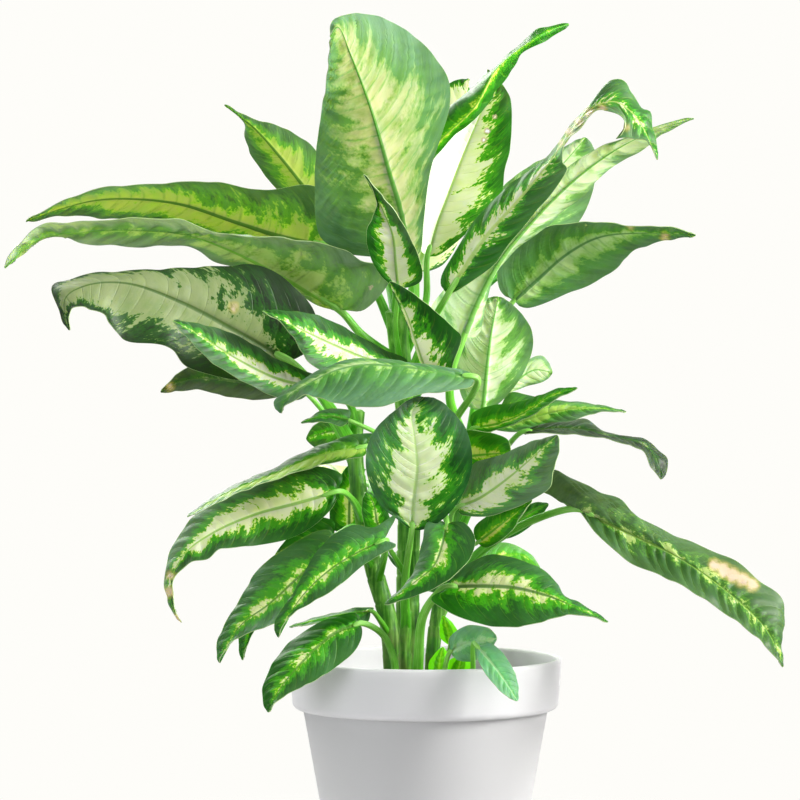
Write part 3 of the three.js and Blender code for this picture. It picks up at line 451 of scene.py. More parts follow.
def cane_skin():
    """Streaked green, with brown blots on the old wood near the soil."""
    finish = Finish("cane_skin")
    place = finish.add("ShaderNodeTexCoord", output=3)
    drawn = finish.add("ShaderNodeMapping", {}, {"Vector": place, "Scale": (420.0, 420.0, 26.0)})
    streaks = finish.noise(drawn, 1.0, 3.0)
    blots = finish.noise(place, 60.0, 4.0)
    height = finish.add("ShaderNodeSeparateXYZ", {}, {"Vector": place}, 2)
    green = finish.ramp(0.65 * streaks + 0.35 * blots, CANE_GREENS)
    old = (1 - height.above(0.15, 0.24)) * blots.above(0.42, 0.62)
    return finish.surface(
        Base_Color=finish.blend(0.6 * old, green, OLD_BARK),
        Roughness=0.38 + 0.2 * blots,
        Normal=finish.bump(streaks, 0.0004),
        Subsurface_Weight=0.15,
        Subsurface_Radius=(0.6, 1.0, 0.3),
        Subsurface_Scale=0.002,
    )


stem_finish = cane_skin()
for name, spec in CANES.items():
    curve = cane_course(spec)
    length = curve[1][-1]
    rows = int(length / CANE_STEP)
    t = np.linspace(0, 1, rows)
    thick = np.interp(t, [0, 1], spec["radius"])
    ring = (t * length / RING_SPACING + 0.3) % 1
    notch = NOTCH_DEPTH * np.exp(-(((ring - 0.5) % 1 - 0.5) / NOTCH_WIDTH) ** 2)
    swell = RING_SWELL * ring**3 - notch
    a = np.linspace(0, 2 * math.pi, CANE_SIDES, endpoint=False)
    ribs = 0.12 * np.sin(7 * a + 2 * np.sin(3 * a))
    radii = thick[:, None] - RING_SWELL + swell[:, None] + ribs[None, :]
    radii[-1] *= 0.6
    skin, faces = tube(at(curve, t), radii, np.array([0.0, 1.0, 0.1]))
    stem = piece(f"stem_{name}", skin, faces, f"cane_{name}", "cane")
    stem.data.materials.append(stem_finish)

# ------------------------------------------------------------------ leaves
# Each leaf is a thin blade on a fleshy stalk that grows from a cane or straight from the soil. The
# blade has a thick midrib, raised underneath, side veins that run out and forward, and a cream middle
# that breaks up into flecks along the veins towards a green margin.
# stem: the cane and the height on it, or the spot in the soil. stalk: its radius. lean: how far the left
# and right half bend back. wave: the margin's wave height and number. shows: the side turned to the eye.
# look: the palette. ragged: how much the marking breaks up. cream: how much of the left and right half
# is pale, in tenths, at the base, a quarter, the middle, three quarters and the tip. painted sheen: how
# much of a painted reflection of the lamps and the room lies there, likewise, silvery on the blade, on a
# few leaves also the grey-green of a folded edge; past ten the blade also shows a painted glow, standing
# for light shining through it from behind. One row or number stands for both halves. pucker: how high the
# pleats rise. holes and scars: [x, z, radius] as seen.
# via: the stalk's way. rib: the midrib, [x, z, depth]. left and right: the margins as seen, [x, z].
LEAVES = {
  "leaf_01": dict(
    stem=("tall", 425), stalk=3.6, lean=(20, 20), wave=(2.5, 2.5), shows="under", look="clear", ragged=0.6,
    cream=((2, 3, 5, 5, 3), (7, 7, 6, 4, 3)), painted_sheen=((5, 5, 6, 8, 9), (3, 4, 6, 9, 9)), pucker=2.2,
    via=[(-20, 450, -2)],
    rib=[(-14, 474, -8), (-18, 505, -20), (-28, 540, -32), (-40, 582, -50), (-55, 622, -74),
      (-65, 643, -94), (-71, 633, -102)],
    left=[(-45, 475), (-60, 478), (-75, 487), (-80, 500), (-81, 525), (-80, 550), (-77, 575), (-72, 605),
      (-71, 622)],
    right=[(-4, 480), (0, 520), (4, 542), (11, 562), (17, 582), (17, 601), (10, 616), (-6, 634), (-30, 649),
      (-52, 653), (-67, 648)]),
  "leaf_02": dict(
    stem=("tall", 420), stalk=2.6, lean=(8, 4), wave=(1.5, 3), shows="top", look="plain", ragged=0.3,
    cream=((0, 0, 0, 0, 0), (1.5, 2.5, 2, 0, 0)), pucker=0.3,
    via=[(-10, 456, 34)],
    rib=[(-24, 490, 26), (-13, 526, 22), (2, 551, 18), (16, 565.5, 16), (27, 575, 16), (38, 587, 17),
      (45, 600, 21), (50, 609.5, 27), (60, 620, 40), (74, 630, 60), (90, 640, 80), (108, 646, 96)],
    left=[(-34, 510), (-22, 540), (-2, 566), (17, 584), (26, 590), (35, 599), (44, 607), (53, 615),
      (65, 626), (83, 641)],
    right=[(-16, 502), (-7, 524), (8, 549), (20, 563), (31, 571), (43, 584), (49, 591), (52, 598),
      (60, 606), (64, 613), (71, 624), (91, 635)]),
  "leaf_03": dict(
    stem=("tall", 396), stalk=2.8, lean=(14, -4), wave=(2, 2.5), shows="top", look="white", ragged=0.5,
    cream=((10, 10, 10, 10, 9), (8, 6.5, 5.5, 3.5, 1)), painted_sheen=((40, 40, 40, 36, 20), (0, 0, 0, 0, 2)),
    pucker=0.6, holes=[(51, 577, 1), (45.5, 566.5, 1.7), (43, 560, 1.3)],
    via=[(0, 440, 18)],
    rib=[(1, 473, 28), (8, 498, 32), (15, 516, 35), (27, 547, 40), (40, 578, 45), (48, 598, 50),
      (45, 614, 52)],
    left=[(-6, 488), (-6, 514), (0, 545), (13, 571), (30, 588), (42, 604)],
    right=[(12, 477), (28, 490), (45, 506), (55, 516), (58, 539), (62, 555), (63, 584), (59, 597)]),
  "leaf_04": dict(
    stem=("tall", 428), stalk=2.4, lean=(18, 6), wave=(2, 2), shows="under", look="glow", ragged=0.45,
    cream=((6, 4, 3, 2, 0), (8, 7, 4, 1, 0)), painted_sheen=((2, 3, 3, 3, 3), (2, 4, 4, 4, 4)),
    via=[(-34, 470, 44)],
    rib=[(-68, 500, 50), (-88, 524, 56), (-108, 549, 62), (-125, 568, 68), (-149, 587, 76)],
    left=[(-85, 503), (-107, 522), (-117, 534), (-127, 548), (-132, 562), (-134, 575)],
    right=[(-66, 522), (-80, 551), (-96, 564), (-111, 571), (-129, 576)]),
  "leaf_05": dict(
    stem=("tall", 410), stalk=3, lean=(26, -10), wave=(2, 3), shows="under", look="glow", ragged=0.6,
    cream=((8, 7, 6, 4, 1), (3, 3, 5, 7, 2)), painted_sheen=((0, 1, 0, 4, 6), (2, 3, 4, 8, 8)), pucker=1.6,
    via=[(-44, 462, 16)],
    rib=[(-68, 482, 22), (-105, 489, 24), (-140, 500, 26), (-180, 513, 28), (-215, 517, 29),
      (-242, 516, 30), (-270, 509, 31), (-297, 499, 32)],
    left=[(-80, 474), (-110, 476), (-145, 486), (-190, 499), (-238, 503), (-265, 505)],
    right=[(-62, 505), (-82, 526), (-120, 523), (-158, 529), (-205, 527), (-240, 524), (-268, 514)]),
  "leaf_06": dict(
    stem=("tall", 395), stalk=3.2, lean=(18, -18), wave=(3, 3.5), shows="under", look="olive", ragged=0.5,
    cream=((8, 7, 3, 0, 0), (4, 4, 0, 0, 0)), painted_sheen=((3, 3, 5, 6, 6), (3, 3, 9, 9.5, 9.5)), pucker=1.8,
    holes=[(-41, 452, 1.7)],
    via=[(-46, 416, 0)],
    rib=[(-62, 434, -10), (-100, 457, -16), (-140, 478, -22), (-175, 491, -28), (-206, 494, -32),
      (-250, 493, -38), (-285, 487, -44), (-312, 463, -50)],
    left=[(-80, 440), (-110, 456), (-135, 466), (-156, 472), (-176, 483), (-205, 482), (-230, 483),
      (-253, 485), (-273, 490), (-292, 480)],
    right=[(-45, 435), (-28, 453), (-26, 467), (-46, 470), (-62, 480), (-99, 487), (-126, 489), (-152, 491),
      (-180, 501), (-220, 502), (-259, 499), (-280, 498), (-300, 482)]),
  "leaf_07": dict(
    stem=("left", 332), stalk=3.9, lean=(-8, 22), wave=(3, 2.5), shows="top", look="grey", ragged=0.5,
    cream=((4, 5, 6, 7, 2), (0, 3, 8.5, 9, 2)), painted_sheen=((1, 1, 1, 1, 1), (0, 1, 1, 2, 3)), pucker=0.5,
    scars=[(-141, 437, 2.5)],
    via=[(-72, 366, -18)],
    rib=[(-98, 396, -44), (-140, 420, -58), (-180, 441, -72), (-220, 455, -86), (-250, 453, -98),
      (-265, 443, -106), (-261, 417, -112)],
    left=[(-110, 386), (-125, 383), (-150, 386), (-175, 394), (-190, 409), (-217, 412), (-228, 420),
      (-238, 433), (-260, 437)],
    right=[(-80, 412), (-82, 434), (-97, 452), (-120, 467), (-150, 467), (-205, 464), (-240, 462),
      (-263, 457), (-274, 451), (-268, 432)]),
  "leaf_08": dict(
    stem=("left", 312), stalk=2.2, lean=(14, -6), wave=(2, 2), shows="under", look="grey", ragged=0.3,
    cream=0, painted_sheen=((4, 5, 5, 5, 5), (3, 4, 4, 4, 4)), scars=[(-188, 379, 2)],
    via=[(-66, 348, 10)],
    rib=[(-93, 378, -2), (-130, 382, -10), (-165, 385, -16), (-182, 382, -19), (-196, 374, -20)],
    left=[(-110, 371), (-130, 370), (-150, 373), (-165, 377), (-182, 376)],
    right=[(-95, 390), (-130, 396), (-160, 396), (-178, 391)]),
  "leaf_09": dict(
    stem=("left", 350), stalk=2.4, lean=(-8, 12), wave=(2, 2), shows="top", look="fresh", ragged=0.3,
    cream=((3, 3.8, 3, 0.6, 0), (3, 3.6, 2.6, 0.4, 0)), painted_sheen=((2, 2, 2, 2, 2), (1, 1, 2, 2, 2)),
    via=[(-58, 368, -44)],
    rib=[(-82, 378, -76), (-112, 386, -88), (-140, 400, -98), (-165, 416, -108), (-187, 428, -116)],
    left=[(-92, 370), (-108, 371), (-126, 379), (-146, 390), (-159, 399), (-173, 413)],
    right=[(-80, 386), (-91, 391), (-112, 400), (-126, 409), (-146, 419), (-169, 425)]),
  "leaf_10": dict(
    stem=("tall", 345), stalk=2.6, lean=(-8, 16), wave=(2, 2), shows="top", look="fresh", ragged=0.35,
    cream=((3, 4, 3.2, 0.8, 0), (3, 3.5, 2.6, 0.5, 0)), painted_sheen=((0, 0, 0, 0, 0), (0, 1, 1, 1, 0)),
    via=[(-12, 374, -30)],
    rib=[(-17, 391, -58), (-45, 400, -70), (-75, 413, -86), (-100, 425, -100), (-121, 435, -112)],
    left=[(-30, 384), (-60, 384), (-84, 396), (-96, 414), (-107, 427)],
    right=[(-14, 398), (-29, 405), (-46, 414), (-60, 422), (-80, 431), (-101, 434)]),
  "leaf_11": dict(
    stem=("tall", 318), stalk=3, lean=(-18, 10), wave=(3, 2.5), shows="top", look="frost", ragged=0.5,
    cream=((0, 0, 0, 0, 0), (0, 0, 3.5, 3.5, 0)), painted_sheen=((8, 7, 6, 4, 3), (8, 8, 7, 6, 6)),
    via=[(24, 358, -56)],
    rib=[(38, 385, -92), (22, 388, -97), (5, 391, -104), (-20, 394, -112), (-45, 395, -120),
      (-65, 391, -126), (-84, 382, -131), (-101, 371, -135), (-107, 357, -138)],
    left=[(33, 379), (24, 377), (12, 375), (2, 375), (-6, 373), (-16, 370), (-27, 366), (-44, 364),
      (-65, 367), (-79, 371), (-88, 373), (-99, 368), (-104, 364)],
    right=[(31, 389), (20, 392), (8, 394), (-6, 395), (-16, 397), (-27, 398), (-44, 399), (-62, 397),
      (-74, 392), (-88, 385), (-101, 376), (-111, 368)]),
  "leaf_12": dict(
    stem=("tall", 390), stalk=2, lean=(-4, -4), wave=(1.5, 2), shows="top", look="fresh", ragged=0.35,
    cream=((7, 6, 4, 1, 0), (6, 5, 3, 1, 0)), painted_sheen=((0, 0, 0, 0, 0), (0, 0, 2, 2, 0)),
    via=[(-22, 424, -14)],
    rib=[(-20, 450, -30), (-22, 470, -38), (-24, 490, -46), (-31, 508, -52), (-38, 522, -58),
      (-46, 536, -64)],
    left=[(-32, 460), (-40, 474), (-43, 492), (-37, 507), (-36, 517), (-41, 528)],
    right=[(-4, 456), (-4, 470), (-11, 487), (-21, 505), (-33, 520)]),
  "leaf_13": dict(
    stem=("tall", 360), stalk=2.4, lean=(16, -4), wave=(2, 2), shows="top", look="fresh", ragged=0.5,
    cream=((10, 9, 7, 4, 1), (6, 4, 2, 1, 0)),
    via=[(2, 384, -24)],
    rib=[(6, 378, -64), (-2, 396, -68), (-8, 414, -71), (-14, 432, -74), (-27, 457, -78)],
    left=[(0, 390), (-7, 408), (-15, 430), (-21, 443)],
    right=[(16, 382), (20, 396), (26, 414), (20, 422), (6, 435), (-12, 449)]),
  "leaf_14": dict(
    stem=("tall", 375), stalk=3, lean=(14, -8), wave=(1.5, 3), shows="top", look="white", ragged=0.55,
    cream=((3.5, 3, 2.5, 0, 0), (1, 0.8, 0.2, 0, 0)), painted_sheen=((0, 0, 1, 1, 0), (0, 0, 1, 2, 1)),
    scars=[(100, 558, 1), (106, 566, 2), (113, 573, 2), (121, 580, 2.5), (130, 583, 2), (147, 569, 1.5)],
    via=[(2, 420, -10)],
    rib=[(15, 444, -34), (42, 486, -42), (70, 518, -48), (92, 545, -52), (104, 561, -54), (115, 577, -56),
      (127, 586, -58), (140, 588, -60), (152, 580, -62), (160, 569, -63), (166, 556, -65), (172, 542, -66)],
    left=[(12, 458), (22, 478), (34, 497), (50, 516), (70, 533), (89, 546), (95, 554), (101, 563),
      (108, 572), (117, 581), (124, 589), (133, 601), (142, 604), (148, 601), (151, 595), (158, 583),
      (165, 580), (167, 567), (169, 557)],
    right=[(33, 456), (50, 469), (63, 486), (77, 503), (93, 522), (104, 538), (100, 544), (102, 557),
      (107, 563), (114, 570), (120, 577), (127, 582), (136, 581), (143, 579), (147, 575), (147, 569),
      (143, 563), (140, 561), (150, 562), (161, 560), (166, 556), (169, 550)]),
  "leaf_15": dict(
    stem=("right", 335), stalk=3.2, lean=(-4, 14), wave=(3, 4), shows="under", look="silver", ragged=0.6,
    cream=((9, 10, 10, 10, 6), (9, 9, 9, 8, 4)), painted_sheen=((8, 5, 3, 3, 7), (3, 3, 3, 6, 8)), pucker=0.8,
    via=[(18, 370, -12), (20, 392, -16)],
    rib=[(27, 412, -14), (38, 440, -12), (55, 472, -12), (78, 500, -12), (105, 527, -14), (135, 550, -16),
      (165, 566, -22), (201, 577, -28)],
    left=[(14, 422), (4, 434), (14, 450), (45, 482), (75, 512), (100, 536), (122, 551), (150, 563),
      (180, 573)],
    right=[(40, 420), (46, 449), (60, 474), (80, 490), (100, 507), (119, 523), (134, 539), (154, 550),
      (178, 567)]),
  "leaf_16": dict(
    stem=("right", 332), stalk=2.6, lean=(-6, 18), wave=(3, 2.5), shows="under", look="frost", ragged=0.4,
    cream=((2, 3, 3, 1, 0), (5, 5, 4, 1, 0)), painted_sheen=((5, 6, 6, 6, 5), (3, 4, 5, 6, 6)), pucker=1.4,
    scars=[(176, 489, 2), (150, 497, 1.5)],
    via=[(44, 400, 24)],
    rib=[(64, 441, 26), (84, 459, 22), (105, 477, 14), (128, 489, 6), (160, 492, -4), (201, 490, -14)],
    left=[(55, 450), (54, 466), (67, 481), (84, 494), (110, 499), (134, 499), (155, 496), (178, 496)],
    right=[(76, 437), (100, 446), (122, 455), (140, 466), (150, 477), (160, 482), (178, 487)]),
  "leaf_17": dict(
    stem=("tall", 380), stalk=2.2, lean=(8, -2), wave=(2, 2), shows="top", look="silver", ragged=0.6,
    cream=((8, 8, 8, 8, 5), (5, 5, 4, 4, 2)), painted_sheen=((3, 3, 3, 3, 3), (4, 4, 4, 4, 4)),
    via=[(14, 420, 36)],
    rib=[(50, 474, 44), (70, 504, 50), (90, 530, 56), (106, 548, 60), (119, 563, 64)],
    left=[(42, 492), (56, 523), (66, 533), (79, 542), (89, 547), (106, 557)],
    right=[(70, 474), (97, 488), (113, 501), (123, 524), (125, 548), (122, 557)]),
  "leaf_18": dict(
    stem=("right", 325), stalk=2.6, lean=(5, 6), wave=(2, 2), shows="under", look="silver", ragged=0.6,
    cream=((10, 10, 10, 8, 5), (9, 8, 6, 4, 2)), painted_sheen=((6, 5, 3, 3, 2), (3, 1, 1, 1, 1)), pucker=2,
    via=[(38, 348, 8)],
    rib=[(42, 361, 0), (44, 380, -2), (46, 400, -2), (49, 422, 2), (54, 446, 8)],
    left=[(30, 366), (24, 385), (25, 410), (36, 438)],
    right=[(55, 368), (70, 386), (78, 406), (77, 422), (66, 437)]),
  "leaf_19": dict(
    stem=("right", 315), stalk=2, lean=(4, 4), wave=(1.5, 2), shows="top", look="silver", ragged=0.4,
    cream=(9, 9, 9, 7, 4), painted_sheen=5,
    via=[(44, 350, 34)],
    rib=[(52, 371, 40), (68, 384, 42), (80, 391, 44), (94, 389, 46)],
    left=[(58, 382), (72, 396), (86, 401)],
    right=[(62, 375), (76, 380), (87, 383)]),
  "leaf_20": dict(
    stem=("front", 205), stalk=2.8, lean=(-5, 6), wave=(2.5, 2.5), shows="top", look="blue", ragged=0.45,
    cream=((5.5, 5.5, 5.5, 2, 0), (5.5, 5, 5, 3, 0)), painted_sheen=((0, 1, 3, 4, 5), (0, 0, 0, 2, 4)),
    pucker=1.8,
    via=[(-15, 235, -52)],
    rib=[(-10, 273, -84), (-8, 300, -96), (-6, 320, -102), (-8, 342, -102), (-10, 360, -96), (0, 372, -88)],
    left=[(-20, 281), (-33, 292), (-42, 312), (-43, 332), (-36, 348), (-24, 360), (-10, 370)],
    right=[(4, 276), (18, 287), (30, 306), (34, 326), (30, 346), (20, 360), (10, 369)]),
  "leaf_21": dict(
    stem=("right", 294), stalk=2, lean=(-3, 3), wave=(1, 2), shows="top", look="bright", ragged=0.4,
    cream=((2, 4, 3, 1, 0), (1, 3, 2, 1, 0)),
    via=[(24, 314, -22)],
    rib=[(26, 327, -50), (44, 329, -58), (63, 330, -64)],
    left=[(26, 345), (45, 345), (60, 340)],
    right=[(34, 322), (48, 318), (58, 320)]),
  "leaf_22": dict(
    stem=("right", 255), stalk=2.2, lean=(10, -10), wave=(2, 2), shows="top", look="fresh", ragged=0.4,
    cream=((5, 4, 3, 1, 0), (5, 5, 4, 1, 0)), painted_sheen=((5, 5, 4, 4, 3), (1, 2, 3, 4, 4)),
    via=[(18, 276, -34)],
    rib=[(23, 290, -76), (40, 297, -80), (60, 311, -86), (80, 328, -92), (98, 344, -98)],
    left=[(26, 306), (36, 322), (55, 328), (78, 338), (90, 341)],
    right=[(27, 285), (45, 284), (60, 288), (78, 296), (91, 305), (94, 318), (98, 332)]),
  "leaf_23": dict(
    stem=("right", 305), stalk=2, lean=(8, -6), wave=(1, 2), shows="top", look="bright", ragged=0.3,
    cream=((3, 2, 1, 0, 0), (4, 3, 2, 1, 0)),
    via=[(33, 332, -12)],
    rib=[(34, 348, -26), (55, 352, -32), (74, 360, -40), (92, 372, -48), (113, 378, -54)],
    left=[(34, 358), (46, 364), (68, 367), (84, 372), (98, 377)],
    right=[(46, 346), (60, 350), (78, 358), (96, 370)]),
  "leaf_24": dict(
    stem=("right", 295), stalk=2.2, lean=(14, -8), wave=(2, 2.5), shows="top", look="spring", ragged=0.5,
    cream=((6, 6, 4, 2, 0), (5, 4, 2, 0, 0)), painted_sheen=((1, 2, 4, 6, 6), (3, 4, 5, 6, 6)),
    via=[(44, 328, 8)],
    rib=[(48, 348, 2), (66, 352, -2), (90, 359, -6), (116, 363, -10), (149, 360, -16)],
    left=[(54, 360), (60, 372), (68, 374), (88, 369), (112, 367), (132, 364)],
    right=[(62, 346), (84, 349), (105, 353), (122, 359), (135, 361)]),
  "leaf_25": dict(
    stem=("right", 264), stalk=2.4, lean=(14, -14), wave=(2, 2), shows="top", look="grey", ragged=0.3,
    cream=(1, 0, 0, 0, 0), painted_sheen=((2, 4, 5, 4, 4), (2, 4, 4, 4, 4)),
    via=[(44, 310, -16)],
    rib=[(70, 345, -40), (90, 348, -46), (112, 348, -52), (135, 343, -58), (158, 337, -66), (169, 327, -70),
      (174, 309, -74)],
    left=[(84, 350), (105, 353), (119, 354), (132, 345), (148, 342), (163, 339), (171, 331), (178, 324)],
    right=[(84, 345), (110, 344), (133, 341), (150, 336), (160, 332), (165, 322)]),
  "leaf_26": dict(
    stem=("right", 225), stalk=3.2, lean=(24, -16), wave=(3.5, 3), shows="top", look="worn", ragged=0.75,
    cream=((0.4, 0.5, 0.4, 0.3, 0), (0.3, 0.4, 0.4, 0.3, 0)), painted_sheen=((9, 6, 4, 4, 3), (2, 2, 2, 2, 2)),
    pucker=1.6, scars=[(212, 247, 3.5), (219, 244, 4.5), (226, 240.5, 4.5), (233, 237, 4.5),
    (240, 233, 4), (263, 168, 2.5)],
    via=[(40, 257, -10), (80, 281, -36)],
    rib=[(112, 289, -50), (150, 271, -60), (190, 251, -70), (229, 222, -80), (252, 198, -86),
      (264, 170, -88)],
    left=[(92, 298), (82, 306), (93, 317), (108, 311), (128, 301), (142, 296), (154, 284), (174, 273),
      (200, 262), (228, 250), (245, 236), (262, 222), (263, 204), (261, 187)],
    right=[(118, 282), (127, 270), (141, 257), (156, 247), (174, 240), (194, 230), (214, 217), (234, 203),
      (248, 191), (259, 178)]),
  "leaf_27": dict(
    stem=("right", 247), stalk=2, lean=(6, -4), wave=(1.5, 2), shows="top", look="bright", ragged=0.3,
    cream=((2, 1.5, 0.5, 0, 0), (4, 3.5, 2.5, 1, 0)),
    via=[(28, 260, -36)],
    rib=[(38, 264, -62), (56, 278, -68), (79, 296, -76)],
    left=[(36, 274), (45, 283), (60, 290)],
    right=[(46, 261), (62, 272), (70, 284)]),
  "leaf_28": dict(
    stem=("soil", (-6, -42)), stalk=3.6, lean=(16, -12), wave=(2.5, 2.5), shows="top", look="deep",
    ragged=0.4, cream=((2.6, 2.8, 1.4, 0.2, 0), (2, 2.2, 0.8, 0.2, 0)),
    painted_sheen=((3, 2, 2, 3, 3), (0, 0, 1, 2, 3)),
    via=[(-5, 178, -52), (-1, 212, -66)],
    rib=[(15, 231, -80), (40, 232, -88), (65, 231, -96), (90, 225, -104), (112, 216, -110),
      (136, 205, -114)],
    left=[(18, 240), (35, 250), (50, 255), (66, 252), (82, 246), (94, 237), (102, 225), (116, 218)],
    right=[(4, 223), (15, 215), (30, 208), (50, 203), (70, 203), (88, 207), (102, 211), (118, 211)]),
  "leaf_29": dict(
    stem=("right", 212), stalk=2, lean=(4, 2), wave=(1.5, 2), shows="top", look="bright", ragged=0.3,
    cream=(1, 1, 0, 0, 0), painted_sheen=(5, 6, 6, 6, 6),
    via=[(24, 232, 22)],
    rib=[(40, 244, 34), (56, 254, 42), (72, 255, 48), (85, 243, 52)],
    left=[(44, 257), (56, 264), (70, 260), (80, 252)],
    right=[(52, 242), (66, 244), (78, 242)]),
  "leaf_30": dict(
    stem=("right", 265), stalk=2, lean=(-6, 10), wave=(2, 2), shows="top", look="deep", ragged=0.4,
    cream=((0, 2, 1.2, 0.2, 0), (0, 1.6, 1, 0.2, 0)), painted_sheen=((1, 1, 1, 1, 1), (5, 6, 6, 5, 4)),
    via=[(12, 290, -44), (13, 290, -72)],
    rib=[(16, 279, -88), (12, 262, -96), (6, 247, -102), (-8, 235, -106), (-31, 218, -110)],
    left=[(28, 279), (36, 268), (34, 256), (26, 245), (12, 234), (-6, 226)],
    right=[(2, 279), (-2, 264), (-6, 248), (-14, 234)]),
  "leaf_31": dict(
    stem=("tall", 296), stalk=2.4, lean=(-12, 18), wave=(1.5, 2.5), shows="top", look="spring", ragged=0.4,
    cream=((8, 8, 8, 7, 4), (0, 0, 0, 0, 0)), painted_sheen=((0, 1, 1, 3, 4), (2, 2, 3, 5, 6)),
    via=[(-26, 322, -30)],
    rib=[(-42, 335, -58), (-62, 332, -68), (-85, 326, -78), (-110, 315, -88), (-145, 301, -100),
      (-177, 282, -108)],
    left=[(-46, 328), (-62, 325), (-82, 320), (-102, 314), (-138, 301), (-160, 290)],
    right=[(-38, 344), (-58, 342), (-80, 334), (-96, 327), (-110, 319), (-140, 306), (-162, 293)]),
  "leaf_32": dict(
    stem=("left", 280), stalk=2.4, lean=(-6, 14), wave=(2.5, 2), shows="top", look="fresh", ragged=0.35,
    cream=((3.5, 3.5, 3.5, 1.5, 0), (3, 4, 3.5, 1, 0)), painted_sheen=((0, 0, 1, 1, 1), (0, 1, 3, 5, 6)),
    scars=[(-181, 208, 4), (-188, 228, 3), (-187, 240, 2)],
    via=[(-54, 296, -30)],
    rib=[(-64, 302, -56), (-95, 293, -66), (-125, 285, -74), (-155, 272, -82), (-176, 257, -88),
      (-187, 236, -92), (-186, 218, -94), (-178, 203, -96)],
    left=[(-69, 290), (-85, 275), (-105, 266), (-130, 262), (-150, 260), (-160, 253), (-172, 250),
      (-184, 240), (-186, 226), (-183, 212)],
    right=[(-62, 314), (-80, 320), (-100, 318), (-125, 305), (-152, 298), (-172, 281), (-185, 262),
      (-191, 242), (-189, 222)]),
  "leaf_33": dict(
    stem=("left", 245), stalk=2.2, lean=(-8, 14), wave=(2.5, 2), shows="top", look="deep", ragged=0.35,
    cream=(0, 0.5, 1.2, 1.2, 0.2), painted_sheen=((4, 5, 5, 5, 3), (2, 3, 3, 3, 2)),
    via=[(-50, 262, -28)],
    rib=[(-66, 262, -62), (-90, 242, -72), (-115, 219, -82), (-136, 203, -88), (-152, 174, -92)],
    left=[(-68, 246), (-85, 226), (-105, 208), (-125, 200), (-140, 193), (-150, 182)],
    right=[(-70, 273), (-85, 270), (-105, 258), (-122, 245), (-135, 224), (-148, 202), (-153, 188)]),
  "leaf_34": dict(
    stem=("left", 235), stalk=2.2, lean=(-4, 8), wave=(2, 2), shows="top", look="deep", ragged=0.35,
    cream=(0.6, 0.8, 1.2, 1.2, 0), painted_sheen=((8, 4, 3, 2, 2), (6, 3, 2, 1, 1)),
    via=[(-30, 256, -40)],
    rib=[(-30, 266, -96), (-50, 257, -102), (-72, 243, -108), (-93, 222, -114), (-109, 193, -120)],
    left=[(-22, 262), (-43, 250), (-65, 232), (-83, 221), (-98, 212), (-105, 203)],
    right=[(-22, 284), (-38, 275), (-52, 277), (-68, 269), (-82, 254), (-92, 236), (-100, 222),
      (-110, 207)]),
  "leaf_35": dict(
    stem=("left", 260), stalk=2, lean=(-4, 6), wave=(2, 2), shows="top", look="deep", ragged=0.2, cream=0,
    via=[(-52, 276, -14)],
    rib=[(-66, 270, -26), (-95, 254, -34), (-122, 218, -44), (-135, 176, -50)],
    left=[(-76, 255), (-100, 232), (-122, 205), (-131, 190)],
    right=[(-68, 280), (-82, 282), (-97, 272), (-120, 240), (-135, 205), (-137, 192)]),
  "leaf_36": dict(
    stem=("soil", (-22, -50)), stalk=2.8, lean=(-8, 14), wave=(2, 2), shows="top", look="deep", ragged=0.45,
    cream=(0, 0.4, 0.6, 0.3, 0), painted_sheen=((2, 2, 2, 2, 2), (0, 0, 0, 0, 0)),
    via=[(-23, 176, -52), (-31, 196, -58)],
    rib=[(-47, 205, -72), (-68, 197, -84), (-92, 175, -96), (-108, 155, -102), (-116, 138, -106)],
    left=[(-47, 195), (-53, 184), (-66, 173), (-82, 163), (-98, 155), (-110, 147)],
    right=[(-52, 212), (-68, 209), (-85, 201), (-100, 190), (-112, 175), (-119, 158), (-119, 148)]),
  "leaf_37": dict(
    stem=("left", 195), stalk=2, lean=(-8, 10), wave=(1, 2), shows="under", look="deep", ragged=0.2,
    cream=0, painted_sheen=4,
    via=[(-34, 208, -20)],
    rib=[(-40, 214, -34), (-60, 211, -44), (-80, 207, -52), (-101, 202, -60)],
    left=[(-44, 205), (-60, 206), (-80, 205)],
    right=[(-38, 216), (-50, 216), (-62, 213), (-80, 209)]),
  "leaf_38": dict(
    stem=("left", 225), stalk=2, lean=(-3, 3), wave=(1.5, 2), shows="top", look="deep", ragged=0.25,
    cream=(1, 3, 3, 1, 0),
    via=[(-46, 258, 18)],
    rib=[(-56, 272, 24), (-56, 290, 30), (-55, 306, 34), (-52, 324, 38)],
    left=[(-68, 274), (-70, 288), (-67, 303), (-59, 318)],
    right=[(-46, 276), (-45, 290), (-46, 306), (-48, 318)]),
  "leaf_39": dict(
    stem=("tall", 235), stalk=2, lean=(-3, 3), wave=(1.5, 2), shows="top", look="deep", ragged=0.5,
    cream=(0, 1.6, 1.8, 0.6, 0),
    via=[(-24, 256, -10)],
    rib=[(-32, 268, -30), (-36, 280, -36), (-38, 292, -42), (-44, 302, -46)],
    left=[(-42, 272), (-46, 284), (-46, 295)],
    right=[(-26, 276), (-28, 286), (-34, 297)]),
  "leaf_40": dict(
    stem=("tall", 330), stalk=2, lean=(-4, 8), wave=(1, 2), shows="under", look="deep", ragged=0.25,
    cream=0, painted_sheen=3,
    via=[(-34, 344, -38)],
    rib=[(-56, 354, -54), (-70, 357, -58), (-80, 356, -62), (-92, 352, -66)],
    left=[(-62, 350), (-72, 353), (-82, 353)],
    right=[(-56, 361), (-66, 362), (-76, 361), (-84, 356)]),
  "leaf_41": dict(
    stem=("soil", (16, -52)), stalk=2.2, lean=(-4, 6), wave=(3, 2.5), shows="top", look="teal", ragged=0.5,
    cream=(2, 2, 2, 2, 1), painted_sheen=(9, 9, 8, 8, 7), pucker=1.8, scars=[(50, 184, 1)],
    via=[(14, 168, -60)],
    rib=[(18, 184, -66), (30, 190, -72), (42, 192, -78), (53, 194, -84)],
